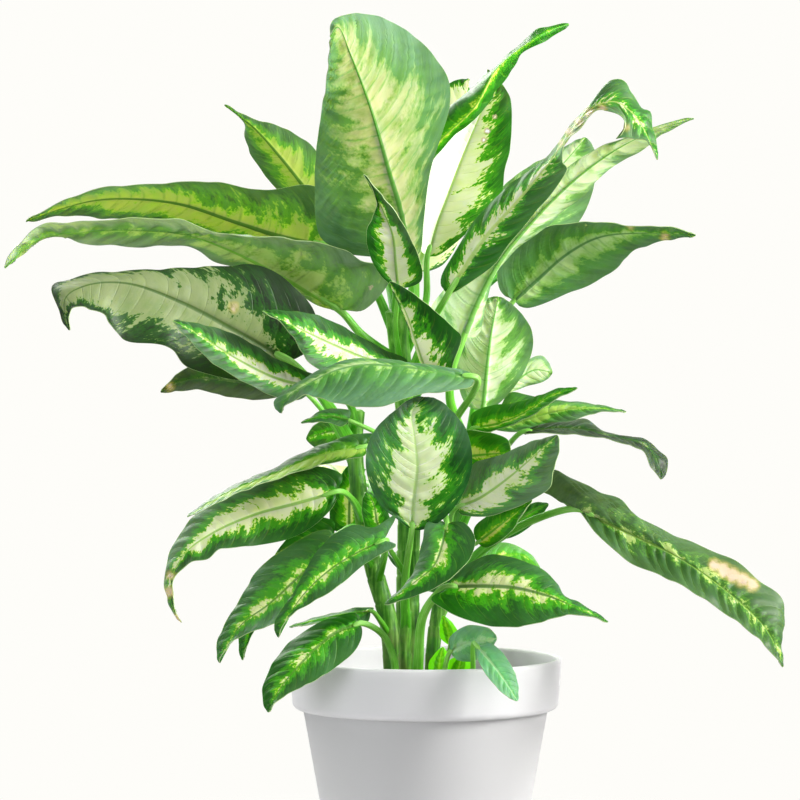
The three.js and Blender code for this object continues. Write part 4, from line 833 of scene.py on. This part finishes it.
    left=[(18, 194), (28, 202), (38, 203), (48, 200)],
    right=[(24, 178), (36, 178), (46, 184)]),
  "leaf_42": dict(
    stem=("soil", (34, -62)), stalk=2, lean=(6, -4), wave=(1, 2), shows="top", look="teal", ragged=0.25,
    cream=0, painted_sheen=(5, 5, 5, 4, 4),
    via=[(35, 176, -78), (35, 190, -88)],
    rib=[(38, 188, -102), (50, 174, -112), (60, 160, -115), (68, 147, -116)],
    left=[(48, 190), (60, 178), (67, 163)],
    right=[(39, 178), (46, 166), (58, 153)]),
  "leaf_43": dict(
    stem=("right", 232), stalk=2, lean=(4, 4), wave=(1, 2), shows="under", look="deep", ragged=0.2, cream=0,
    via=[(40, 256, 16)],
    rib=[(54, 268, 14), (68, 280, 12), (80, 288, 10), (91, 293, 8)],
    left=[(56, 277), (67, 287), (80, 293)],
    right=[(62, 268), (75, 275), (86, 286)]),
  "leaf_44": dict(
    stem=("left", 300), stalk=2, lean=(4, -4), wave=(2, 2), shows="top", look="deep", ragged=0.4,
    cream=((0, 2, 2, 0, 0), (0, 1, 1, 0, 0)), painted_sheen=((3, 3, 3, 3, 3), (2, 2, 2, 2, 2)),
    via=[(-52, 330, 26)],
    rib=[(-56, 344, 30), (-68, 346, 28), (-78, 344, 26), (-88, 340, 22)],
    left=[(-56, 336), (-68, 334), (-80, 334)],
    right=[(-56, 354), (-68, 355), (-79, 352), (-85, 346)]),
  "sprout_01": dict(
    stem=("soil", (7, -44)), stalk=2.2, lean=(4, 4), wave=(0.5, 1), shows="top", look="sprout", ragged=0.2,
    cream=0, painted_sheen=17,
    via=[],
    rib=[(8, 162, -46), (10, 172, -48), (11, 180, -49), (13, 188, -50)],
    left=[(3, 168), (4, 178)],
    right=[(14, 168), (17, 178)]),
  "sprout_02": dict(
    stem=("soil", (22, -28)), stalk=2.2, lean=(4, 4), wave=(0.5, 1), shows="top", look="sprout", ragged=0.2,
    cream=0, painted_sheen=17,
    via=[],
    rib=[(22, 160, -30), (23, 168, -32), (25, 174, -33), (27, 182, -34)],
    left=[(14, 166), (16, 176)],
    right=[(31, 166), (33, 176)]),
  "sprout_03": dict(
    stem=("right", 178), stalk=2, lean=(4, 4), wave=(0.5, 1), shows="top", look="sprout", ragged=0.2,
    cream=0, painted_sheen=17,
    via=[(17, 184, -20)],
    rib=[(18, 189, -24), (17, 197, -26), (15, 204, -28), (13, 211, -30)],
    left=[(12, 194), (11, 203)],
    right=[(25, 193), (21, 203)]),
  "back_01": dict(
    stem=("tall", 370), stalk=3, lean=(14, 14), wave=(3, 2.5), shows="top", look="fresh", ragged=0.35,
    cream=(5, 6, 5, 3, 0),
    via=[(0, 404, 60)],
    rib=[(4, 424, 90), (10, 440, 130), (14, 442, 170), (18, 424, 210), (20, 394, 232)],
    left=[(-14, 420), (-26, 432), (-26, 430), (-14, 414)],
    right=[(24, 420), (44, 430), (48, 426), (42, 408)]),
  "back_02": dict(
    stem=("left", 292), stalk=2.6, lean=(12, 12), wave=(3, 2.5), shows="top", look="deep", ragged=0.3,
    cream=(3, 4, 3, 2, 0),
    via=[(-39, 304, 30), (-46, 309, 50)],
    rib=[(-60, 312, 66), (-72, 322, 106), (-80, 316, 146), (-86, 292, 180)],
    left=[(-76, 308), (-98, 312), (-104, 300), (-98, 288)],
    right=[(-50, 310), (-44, 318), (-52, 310), (-70, 296)]),
  "back_03": dict(
    stem=("right", 288), stalk=2.6, lean=(12, 12), wave=(3, 2.5), shows="top", look="fresh", ragged=0.3,
    cream=(4, 5, 5, 3, 0),
    via=[(38, 308, 46)],
    rib=[(46, 320, 74), (56, 330, 114), (62, 322, 156), (66, 298, 190)],
    left=[(34, 318), (26, 326), (32, 318), (50, 302)],
    right=[(60, 318), (84, 320), (88, 310), (80, 298)]),
  "back_04": dict(
    stem=("tall", 215), stalk=2.6, lean=(12, 12), wave=(3, 2.5), shows="top", look="deep", ragged=0.3,
    cream=(4, 5, 4, 2, 0),
    via=[(-10, 240, 50)],
    rib=[(-6, 252, 76), (2, 262, 112), (8, 254, 150), (12, 228, 180)],
    left=[(-20, 250), (-28, 256), (-22, 246), (-4, 230)],
    right=[(8, 250), (30, 254), (34, 244), (26, 230)]),
  "back_05": dict(
    stem=("right", 205), stalk=2.4, lean=(12, 12), wave=(3, 2.5), shows="top", look="deep", ragged=0.3,
    cream=(3, 4, 4, 2, 0),
    via=[(18, 220, 36)],
    rib=[(28, 231, 62), (40, 238, 96), (50, 231, 130), (56, 212, 158)],
    left=[(18, 230), (22, 236), (30, 230), (44, 214)],
    right=[(42, 230), (62, 234), (72, 226), (68, 212)]),
  "back_06": dict(
    stem=("tall", 408), stalk=2.8, lean=(14, 10), wave=(2.5, 2.5), shows="top", look="fresh", ragged=0.6,
    cream=(9, 9, 9, 8, 6),
    via=[(-8, 432, 46)],
    rib=[(-6, 462, 78), (4, 500, 100), (14, 542, 120), (24, 578, 134), (33, 607, 142)],
    left=[(-24, 474), (-32, 505), (-26, 545), (-2, 588), (17, 601), (28, 605)],
    right=[(14, 470), (30, 500), (38, 540), (38, 575), (32, 597), (31, 601)]),
  "back_07": dict(
    stem=("tall", 356), stalk=2.6, lean=(12, 14), wave=(2, 2), shows="top", look="deep", ragged=0.35,
    cream=(4, 5, 4, 2, 0),
    via=[(2, 392, 70)],
    rib=[(26, 444, 96), (50, 474, 126), (76, 502, 150), (98, 524, 166), (116, 541, 174)],
    left=[(24, 460), (42, 488), (66, 514), (92, 532)],
    right=[(44, 450), (68, 472), (92, 500), (109, 524)]),
}
BLADE_THICKNESS = 0.55
BLADE_ENDS = (0.015, 0.985)
TIP_HALF_WIDTH = 0.4
STALK_SIDES = 18
STALK_ROOT = 20.0
STALK_REACH = 0.07
STALK_GREENS = ((0.3, (64, 156, 16)), (0.45, (100, 194, 40)), (0.6, (140, 216, 84)), (0.8, (198, 236, 156)))
EDGE_GREEN = (120, 168, 84)
EDGE_CREAM = (208, 222, 170)

# Cream, lime, bright, deep and margin colours of each palette, then its midrib, its painted sheen (a
# reflection painted into the colour, which past ten also glows), the colour of its vein lines and how
# softly the colours run into each other.
PALETTES = {
  "white": ((226, 236, 204), (196, 226, 100), (61, 160, 8), (26, 103, 5), (46, 123, 32), (196, 222, 128),
    (254, 255, 250), (214, 232, 170), 0),
  "fresh": ((226, 234, 200), (172, 218, 56), (51, 146, 3), (12, 74, 3), (30, 99, 19), (150, 196, 84),
    (176, 208, 174), (246, 250, 230), 0),
  "deep": ((228, 238, 178), (146, 208, 34), (60, 158, 2), (18, 90, 1), (28, 98, 8), (84, 142, 44),
    (132, 172, 136), (176, 206, 104), 0.15),
  "spring": ((176, 214, 96), (142, 196, 62), (76, 152, 13), (26, 89, 7), (46, 107, 30), (160, 204, 92),
    (120, 164, 120), (170, 206, 110), 0.5),
  "bright": ((236, 240, 140), (172, 222, 36), (72, 173, 4), (36, 127, 2), (48, 128, 16), (96, 190, 24),
    (150, 206, 130), (110, 196, 30), 0.2),
  "plain": ((216, 226, 110), (150, 206, 30), (55, 152, 2), (28, 108, 2), (40, 114, 12), (90, 176, 34),
    (150, 200, 120), (110, 190, 40), 0.2),
  "blue": ((210, 224, 186), (150, 204, 58), (36, 125, 6), (7, 64, 7), (23, 81, 33), (186, 216, 140),
    (122, 168, 134), (248, 252, 238), 0.1),
  # The grey palette is partly painted shade: its greens and cream are darkened for leaves that sit in
  # shade.
  "grey": ((140, 154, 108), (72, 118, 28), (19, 76, 4), (4, 26, 3), (15, 47, 13), (74, 108, 46),
    (120, 148, 112), (128, 146, 100), 0),
  "frost": ((190, 218, 160), (140, 190, 84), (72, 141, 42), (41, 96, 38), (67, 113, 74), (84, 144, 70),
    (128, 172, 134), (120, 172, 110), 0.8),
  "teal": ((200, 228, 192), (150, 206, 146), (92, 172, 104), (56, 134, 76), (76, 144, 94), (172, 214, 160),
    (150, 200, 166), (176, 218, 176), 0.8),
  "glow": ((178, 192, 92), (152, 196, 44), (82, 152, 4), (29, 84, 7), (53, 102, 44), (62, 124, 16),
    (138, 172, 134), (120, 160, 50), 0.5),
  "clear": ((200, 201, 160), (142, 174, 84), (78, 136, 30), (29, 83, 7), (65, 109, 67), (72, 156, 28),
    (120, 164, 130), (104, 168, 60), 1.0),
  "olive": ((184, 214, 118), (140, 190, 62), (85, 153, 31), (52, 110, 31), (86, 132, 79), (124, 196, 60),
    (206, 222, 198), (84, 132, 40), 0.6),
  "silver": ((220, 238, 202), (172, 214, 128), (97, 161, 56), (46, 103, 35), (77, 124, 73), (112, 186, 62),
    (176, 208, 178), (150, 200, 120), 0.8),
  "worn": ((178, 200, 122), (124, 164, 62), (61, 120, 27), (29, 79, 15), (58, 99, 44), (142, 182, 84),
    (134, 162, 122), (120, 164, 80), 0.25),
  "sprout": ((180, 236, 30), (154, 228, 12), (112, 205, 2), (76, 167, 2), (74, 165, 5), (166, 232, 46),
    (96, 190, 10), (150, 226, 40), 0.3),
}
SCAR = (210, 188, 172)
SCAR_RING = (204, 184, 96)
# Strength of the painted glow: where the painted sheen passes ten, the blade shines in its sheen colour,
# standing for light through it.
PAINTED_GLOW = 0.8
FAR = 50.0
GRAIN_SHIFT = 997.0
WAVE_STARTS = (0.6, 0.25)


def leaf_skin(name, cream, lime, bright, deep, margin, rib, painted_sheen, vein, soft):
    """zone holds the marking, the under side and the painted sheen, a reflection painted into the colour.
    grain holds the millimetres along the blade and along the side veins, and the number of veins. mark
    holds the place across, how many midrib widths away the midrib is and how much the marking breaks up.
    harm holds the millimetres to a hole and to a scar."""
    finish = Finish(f"leaf_{name}")

    def parts(attribute):
        """An attribute of the blade, whole and as its three numbers."""
        vector = finish.add("ShaderNodeAttribute", {"attribute_name": attribute}, output=1)
        axes = [finish.add("ShaderNodeSeparateXYZ", {}, {"Vector": vector}, axis) for axis in range(3)]
        return vector, axes

    field, under, painted_sheen_amount = parts("zone")[1]
    grain, (_, _, veins) = parts("grain")
    across, midrib, ragged = parts("mark")[1]
    hole, scar, _ = parts("harm")[1]

    def drawn(*scale):
        """A place for noise, scaled along the blade and along its side veins."""
        return finish.add("ShaderNodeMapping", {}, {"Vector": grain, "Scale": (*scale, 0.0)})

    teeth = finish.noise(drawn(0.21, 0.13), 1.0, 3.0, 0.6)
    flecks = finish.noise(drawn(0.55, 0.42), 1.0, 2.0, 0.55)
    patches = finish.noise(drawn(0.075, 0.045), 1.0, 2.0, 0.5)
    clouds = finish.noise(drawn(0.085, 0.03), 1.0, 4.0, 0.62)
    mottle = finish.noise(drawn(0.24, 0.1), 1.0, 3.0, 0.6)
    crisp = 1 - 0.55 * soft
    broken = crisp * (2.2 * (teeth - 0.5) + 1.7 * (flecks - 0.5)) + 3.2 * (patches - 0.5)
    green = field + ragged * broken
    colour = finish.ramp(0.42 + 0.5 * green, [
        (0.385 - 0.1 * soft, cream), (0.42, lime), (0.455 + 0.03 * soft, bright),
        (0.53 + 0.02 * soft, bright), (0.63 + 0.1 * soft, deep)])
    pale = 1 - green.above(-0.02 - 0.3 * soft, 0.05 + 0.1 * soft)
    colour = finish.blend(pale * clouds.above(0.44, 0.66) * (0.3 + 0.35 * soft), colour, lime)
    colour = finish.blend((1 - pale) * mottle.above(0.5, 0.66) * 0.22, colour, bright)
    edge = (across.math("ABSOLUTE") + 0.5 * (clouds - 0.5)).above(0.6, 1.0)
    colour = finish.blend(edge * (1 - pale) * 0.65, colour, margin)
    line = 1 - veins.math("PINGPONG", 0.5).above(0.0, 0.09 + 0.09 * soft)
    line = line * (1 - across.math("ABSOLUTE").above(0.7, 1.0)) * mottle.above(0.3, 0.6)
    colour = finish.blend(line * pale * (0.5 + 0.2 * soft), colour, vein)
    colour = finish.blend(line * (1 - pale) * 0.14, colour, lime)
    # Painted sheen: a reflection of the lamps and the room painted into the colour, on a few leaves the
    # grey-green of a fold.
    colour = finish.blend(painted_sheen_amount * (0.65 + 1.2 * (clouds - 0.5) + 0.4 * (flecks - 0.5)), colour, painted_sheen)
    colour = finish.blend((1 - midrib.above(0.55, 1.15)) * 0.85, colour, rib)
    sore = 1 - (scar + 5 * (teeth - 0.5)).above(-1.5, 1.5)
    torn = 1 - (hole + 2 * (flecks - 0.5)).above(0.3, 1.4)
    ring = 1 - (scar + 5 * (teeth - 0.5)).above(0.0, 3.5)
    colour = finish.blend(0.45 * ring, colour, SCAR_RING)
    colour = finish.blend(0.85 * sore.math("MAXIMUM", torn), colour, SCAR)
    height = 0.5 - 0.5 * line + 0.3 * mottle + 0.12 * flecks
    shine = finish.noise(drawn(0.2, 0.2), 1.0, 2.0)
    return finish.surface(
        Base_Color=colour,
        Roughness=0.38 + 0.16 * shine + 0.1 * under,
        Specular_IOR_Level=0.25,
        # Painted glow: the blade shines where the painted sheen passes ten, as if lit through from behind.
        Emission_Color=finish.blend(painted_sheen_amount.above(1.0, 1.3), (0, 0, 0), painted_sheen),
        Emission_Strength=PAINTED_GLOW,
        Alpha=(hole + 1.2 * (flecks - 0.5)).math("GREATER_THAN", 0.0),
        Normal=finish.bump(height, 0.0006, 0.7),
        Subsurface_Weight=0.55,
        Subsurface_Radius=(0.9, 1.0, 0.15),
        Subsurface_Scale=0.0022,
    )


def edge_skin():
    """The thin pale rim where upper and under skin meet."""
    finish = Finish("leaf_edge")
    place = finish.add("ShaderNodeTexCoord", output=3)
    dots = finish.noise(place, 220.0)
    return finish.surface(
        Base_Color=finish.blend(dots, EDGE_GREEN, EDGE_CREAM),
        Roughness=0.4 + 0.1 * dots,
    )


def stalk_skin():
    """Green streaked along the stalk, paler towards the blade."""
    finish = Finish("stalk")
    place = finish.add("ShaderNodeTexCoord", output=3)
    way = finish.add("ShaderNodeAttribute", {"attribute_name": "way"}, output=1)
    drawn = finish.add("ShaderNodeMapping", {}, {"Vector": way, "Scale": (5.0, 0.05, 1.0)})
    streaks = finish.noise(drawn, 1.0, 3.0)
    blots = finish.noise(place, 90.0, 3.0)
    height = finish.add("ShaderNodeSeparateXYZ", {}, {"Vector": way}, 2)
    return finish.surface(
        Base_Color=finish.ramp(0.55 * streaks + 0.2 * blots + 0.25 * height, STALK_GREENS),
        Roughness=0.34 + 0.14 * blots,
        Normal=finish.bump(streaks, 0.0003),
        Subsurface_Weight=0.2,
        Subsurface_Radius=(0.7, 1.0, 0.3),
        Subsurface_Scale=0.002,
    )


def smoothly(value, low, high):
    """0 below low, 1 above high, 3u^2 - 2u^3 between them."""
    u = np.clip((value - low) / (high - low), 0, 1)
    return u * u * (3 - 2 * u)


def gap_to(flat, spots):
    """The least distance from each point to the spots, (x, z, radius) as seen, or FAR where it is more."""
    gaps = [np.hypot(flat[..., 0] - x, flat[..., 1] - z) - radius for x, z, radius in spots]
    return np.minimum.reduce([np.full(flat.shape[:2], FAR), *gaps])


def blade(leaf, number):
    """The blade as a grid over t, base to tip, and s, left margin -1 over the midrib 0 to the right
    margin 1. A point lies |s| of the way from the midrib to its margin, both taken at share t of their
    length. Its depth is the midrib's, plus sin(pi t)^0.6 * (lean |s|^1.3 + wave |s|^2 sin(...)). The skin
    then rises between the side veins, whose lines run forward as they run out."""
    rib = course(leaf["rib"])
    base, tip = np.array(leaf["rib"][0][:2]), np.array(leaf["rib"][-1][:2])
    length = rib[1][-1]
    rows = int(np.clip(length / 1.5, 36, 120))
    columns = 9 if length < 60 else 14
    t = np.linspace(*BLADE_ENDS, rows)
    close = np.sqrt(np.clip(np.minimum(t - 0.012, 0.988 - t) / 0.02, 0, 1))
    share = (np.arange(columns + 1) / columns) ** 1.35
    centre = at(rib, t)
    step = np.gradient(at(rib, t)[:, :2], axis=0)
    step /= np.linalg.norm(step, axis=1, keepdims=True)
    swell = np.sin(math.pi * t) ** 0.6
    halves = []
    for side, (key, turn) in enumerate((("left", 1), ("right", -1))):
        margin = at(course(np.vstack([base, leaf[key], tip]), even=True), t)
        margin += turn * TIP_HALF_WIDTH * np.stack([-step[:, 1], step[:, 0]], -1)
        ripple = leaf["wave"][0] * np.sin(2 * math.pi * (leaf["wave"][1] * t + WAVE_STARTS[side]))
        s = share[None, :] * close[:, None]
        flat = centre[:, None, :2] + s[..., None] * (margin - centre[:, :2])[:, None]
        depth = centre[:, 2:] + swell[:, None] * (leaf["lean"][side] * s**1.3 + ripple[:, None] * s**2)
        width = np.linalg.norm(margin - centre[:, :2], axis=1)
        width = np.hypot(width, swell * leaf["lean"][side])
        quarters = np.linspace(0, 1, 5)
        cream = np.interp(t, quarters, np.broadcast_to(leaf["cream"], (2, 5))[side]) / 10
        # How much painted sheen, a painted reflection, lies on this half along the blade.
        painted_sheen = np.interp(t, quarters, np.broadcast_to(leaf.get("painted_sheen", 0), (2, 5))[side]) / 10
        tip_fade = 0.25 * smoothly(t, 0.85, 1.0)
        halves.append(dict(
            points=np.concatenate([flat, depth[..., None]], -1),
            out=s * width[:, None],
            along=t[:, None] * length - width[:, None] * (0.45 * s + 0.55 * s**2.6),
            field=share[None, :] - cream[:, None] + tip_fade[:, None],
            painted_sheen=painted_sheen[:, None] * (0.3 + 0.7 * smoothly(share, 0.1, 0.8)),
            hole=gap_to(flat, leaf.get("holes", [])),
            scar=gap_to(flat, leaf.get("scars", [])),
            share=np.broadcast_to(share, s.shape) * (-turn),
        ))
    left, right = halves

    def both(key):
        """Left and right side by side, from margin to margin, with the midrib once."""
        return np.concatenate([left[key][:, :0:-1], right[key]], 1)

    points = seen(both("points"))
    ahead = np.gradient(points, axis=0)
    sideways = np.gradient(points, axis=1)
    normal = np.cross(sideways, ahead)
    normal /= np.linalg.norm(normal, axis=-1, keepdims=True) + 1e-12
    top = 1 if leaf["shows"] == "top" else -1
    spacing = 3.8 + 0.034 * length
    place, out, s = both("along"), both("out"), both("share")
    even = place / spacing
    veins = even + 0.2 * np.sin(2.1 * even + number) + 0.16 * np.sin(0.9 * even + 2 * number)
    depth = np.abs(s)
    relief = smoothly(depth, 0.03, 0.2) * (1 - smoothly(depth, 0.75, 1.0)) * close[:, None]
    rise = leaf.get("pucker", 1) * (0.3 + 0.085 * spacing)
    swelling = 1 + 0.25 * np.sin(2 * math.pi * (out / (2.4 * spacing) + 0.37 * np.floor(veins) + number))
    pleat = rise * (np.abs(np.sin(math.pi * veins)) ** 0.8 * swelling - 0.5) * relief
    flutter = 0.05 * spacing * np.sin(2 * math.pi * (veins / 2.6 + 0.7 * number))
    flutter = flutter * smoothly(depth, 0.5, 1.0)
    points = points + (top * (pleat + flutter * close[:, None]))[..., None] * normal
    thick = np.interp(t, [0, 1], [leaf["stalk"] * 0.85, 0.25])[:, None]
    keel = thick * np.sqrt(np.clip(1 - (out / (thick * 1.15)) ** 2, 0, 1)) * close[:, None]
    groove = 0.35 * thick * np.exp(-((out / (0.7 * thick)) ** 2))
    above = (BLADE_THICKNESS / 2 - groove)[..., None]
    below = (BLADE_THICKNESS / 2 + keel)[..., None]
    upper = points + top * normal * above
    lower = points - top * normal * below
    front, rear = (upper, lower) if top > 0 else (lower, upper)
    rows, count = s.shape
    size = rows * count
    i, j = np.meshgrid(np.arange(rows - 1), np.arange(count - 1), indexing="ij")
    a = (i * count + j).ravel()
    faces = [np.stack([a, a + 1, a + count + 1, a + count], -1),
             size + np.stack([a, a + count, a + count + 1, a + 1], -1)]
    rim = np.concatenate([np.arange(count), np.arange(1, rows) * count + count - 1,
                          size - 2 - np.arange(count - 1), np.arange(rows - 2, 0, -1) * count])
    after = np.roll(rim, -1)
    faces.append(np.stack([rim, size + rim, size + after, after], -1))
    zone = np.stack([both("field"), np.zeros_like(s), both("painted_sheen")], -1)
    grain = np.stack([place + GRAIN_SHIFT * number, out * np.where(s < 0, -1, 1), veins], -1)
    mark = np.stack([s, out / np.maximum(thick * 0.9, 0.3), np.full_like(s, leaf["ragged"])], -1)
    harm = np.stack([both("hole"), both("scar"), np.zeros_like(s)], -1)
    turned = zone + [0, 1, 0]
    zones = (zone, turned) if top > 0 else (turned, zone)
    return dict(
        points=np.concatenate([front.reshape(-1, 3), rear.reshape(-1, 3)]),
        faces=np.concatenate(faces),
        rim=len(rim),
        zone=np.concatenate([z.reshape(-1, 3) for z in zones]),
        grain=np.concatenate([grain.reshape(-1, 3)] * 2),
        mark=np.concatenate([mark.reshape(-1, 3)] * 2),
        harm=np.concatenate([harm.reshape(-1, 3)] * 2),
        joint=seen(at(rib, np.array([0.0, STALK_REACH]))),
        face=top * normal[2, count // 2],
    )


def on_cane(name, height):
    """The point of a cane's centre line at that height."""
    dense, run = cane_course(CANES[name])
    return np.array([np.interp(height, dense[:, 2], axis) for axis in dense.T])


def stalk(leaf, flesh):
    """A tube from the cane or the soil to the blade's midrib, grooved on its upper side, with a sheath
    at its foot that widens to hold the cane."""
    source, place = leaf["stem"]
    via = [seen(point) for point in leaf["via"]]
    if source == "soil":
        start = [np.array([*place, SOIL_TOP - STALK_ROOT]), np.array([*place, SOIL_TOP])]
    else:
        start = [on_cane(source, place)]
    curve = course(np.vstack(start + via + [flesh["joint"]]))
    length = curve[1][-1]
    rows = int(np.clip(length / 2, 14, 90))
    t = np.linspace(0, 1, rows)
    a = np.linspace(0, 2 * math.pi, STALK_SIDES, endpoint=False)
    radius = leaf["stalk"] * np.interp(t, [0, 0.15, 0.5, 1], [1.45, 1.25, 0.95, 0.72])
    up = math.pi / 2
    channel = np.exp(-(((a - up) / 0.45) ** 2))
    wings = np.exp(-(((np.abs(a - up) - 0.75) / 0.25) ** 2))
    sheath = 1 - smoothly(t, 0.35, 0.65)
    shape = 1 - 0.22 * channel[None, :] + 0.16 * wings[None, :] * (0.35 + 0.65 * sheath[:, None])
    radii = radius[:, None] * shape
    radii[-1] *= 0.5
    points, faces = tube(at(curve, t), radii, flesh["face"])
    way = np.stack(np.broadcast_arrays(a[None, :], (t * length)[:, None], t[:, None]), -1).reshape(-1, 3)
    way = np.vstack([way, [0, 0, 0], [0, length, 1]])
    return points, faces, way


skins = {name: leaf_skin(name, *palette) for name, palette in PALETTES.items()}
stalk_finish = stalk_skin()
edge_finish = edge_skin()
for number, (name, leaf) in enumerate(LEAVES.items()):
    flesh = blade(leaf, number)
    stalk_points, stalk_faces, way = stalk(leaf, flesh)
    size = len(flesh["points"])
    points = np.vstack([flesh["points"], stalk_points])
    faces = flesh["faces"].tolist() + [[size + k for k in face] for face in stalk_faces]
    slot = "leaf_top" if leaf["shows"] == "top" else "leaf_under"
    made = piece(f"{name}_blade", points, faces, name, slot, 55)
    for finish in (skins[leaf["look"]], stalk_finish, edge_finish):
        made.data.materials.append(finish)
    index = np.zeros(len(made.data.polygons), np.int32)
    index[len(flesh["faces"]):] = 1
    index[len(flesh["faces"]) - flesh["rim"]:len(flesh["faces"])] = 2
    made.data.polygons.foreach_set("material_index", index)
    blank = np.zeros((len(stalk_points), 3))
    fields = {key: np.vstack([flesh[key], blank]) for key in ("zone", "grain", "mark", "harm")}
    fields["way"] = np.vstack([np.zeros((size, 3)), way])
    for key, vectors in fields.items():
        attribute = made.data.attributes.new(key, "FLOAT_VECTOR", "POINT")
        attribute.data.foreach_set("vector", vectors.astype(np.float32).ravel())

# ------------------------------------------------------------------ floor and light
# A pale floor that fades into a plain white room, a broad light high on the right, a weak cool one on
# the left and a bright one behind and above, so that thin leaves also glow.
FLOOR_RADIUS = 0.62
FLOOR_FADE = 0.2
ROOM_WHITE = (0.991, 0.983, 0.947, 1)
ROOM_LIGHT = 0.46
FROM_BELOW = 0.3
CARD = (0.55, 0.55, 0.545, 1)

ring = np.linspace(0, FLOOR_RADIUS * 1000, 12)
disc, disc_faces = lathed(np.stack([ring[::-1], 0 * ring - 0.05], -1), 64)
mesh = bpy.data.meshes.new("floor")
mesh.from_pydata((disc * MM).tolist(), [], disc_faces)
floor = bpy.data.objects.new("floor", mesh)
bpy.context.scene.collection.objects.link(floor)


def paper():
    """White card that turns clear towards the floor's edge, where the white room shows instead."""
    finish = Finish("paper")
    place = finish.add("ShaderNodeTexCoord", output=3)
    away = finish.add("ShaderNodeVectorMath", {"operation": "LENGTH"}, {0: place}, 1)
    grain = finish.noise(place, 700.0)
    fade = 1 - away.above(FLOOR_FADE, FLOOR_RADIUS * 0.98)
    return finish.surface(Base_Color=CARD, Roughness=0.8 + 0.1 * grain, Alpha=fade)


floor.data.materials.append(paper())


def softbox(name, place, target, size, power, colour):
    """A rectangle of light at a place, turned to face its target."""
    light = bpy.data.lights.new(name, "AREA")
    light.shape = "RECTANGLE"
    light.size, light.size_y = size
    light.energy = power
    light.color = colour
    lamp = bpy.data.objects.new(name, light)
    lamp.location = place
    aim = np.array(target) - np.array(place)
    turn = math.atan2(aim[1], aim[0]) - math.pi / 2
    lamp.rotation_euler = (math.acos(-aim[2] / np.linalg.norm(aim)), 0, turn)
    bpy.context.scene.collection.objects.link(lamp)


softbox("key", (1.95, -0.6, 1.15), (0, 0, 0.3), (0.8, 0.8), 84, (1.0, 0.985, 0.95))
softbox("fill", (-1.5, -1.8, 0.45), (0, 0, 0.25), (1.2, 1.0), 18, (0.95, 0.98, 1.0))
softbox("back", (-0.9, 1.2, 1.5), (0, 0, 0.4), (1.4, 1.0), 56, (1.0, 0.99, 0.96))


def white_room():
    """The room looks pure white, but lights the plant at only ROOM_LIGHT of that, and at FROM_BELOW of this
    from underneath, so that the lamps shape it."""
    world = bpy.data.worlds.new("room")
    world.use_nodes = True
    tree = world.node_tree

    def joined(kind, settings, links):
        """A node with the value or the link of each socket."""
        node = tree.nodes.new(kind)
        for key, value in settings.items():
            node.inputs[key].default_value = value
        for key, socket in links.items():
            tree.links.new(socket, node.inputs[key])
        return node

    way = tree.nodes.new("ShaderNodeTexCoord").outputs["Generated"]
    up = joined("ShaderNodeSeparateXYZ", {}, {"Vector": way}).outputs["Z"]
    span = {"From Min": -0.4, "From Max": 0.3, "To Min": FROM_BELOW * ROOM_LIGHT, "To Max": ROOM_LIGHT}
    soft = joined("ShaderNodeMapRange", span, {"Value": up}).outputs["Result"]
    first = tree.nodes.new("ShaderNodeLightPath").outputs["Is Camera Ray"]
    strength = joined("ShaderNodeMapRange", {}, {"Value": first, "To Min": soft}).outputs["Result"]
    background = tree.nodes["Background"]
    background.inputs["Color"].default_value = ROOM_WHITE
    tree.links.new(strength, background.inputs["Strength"])
    bpy.context.scene.world = world


white_room()
bpy.context.scene.view_settings.view_transform = "Standard"
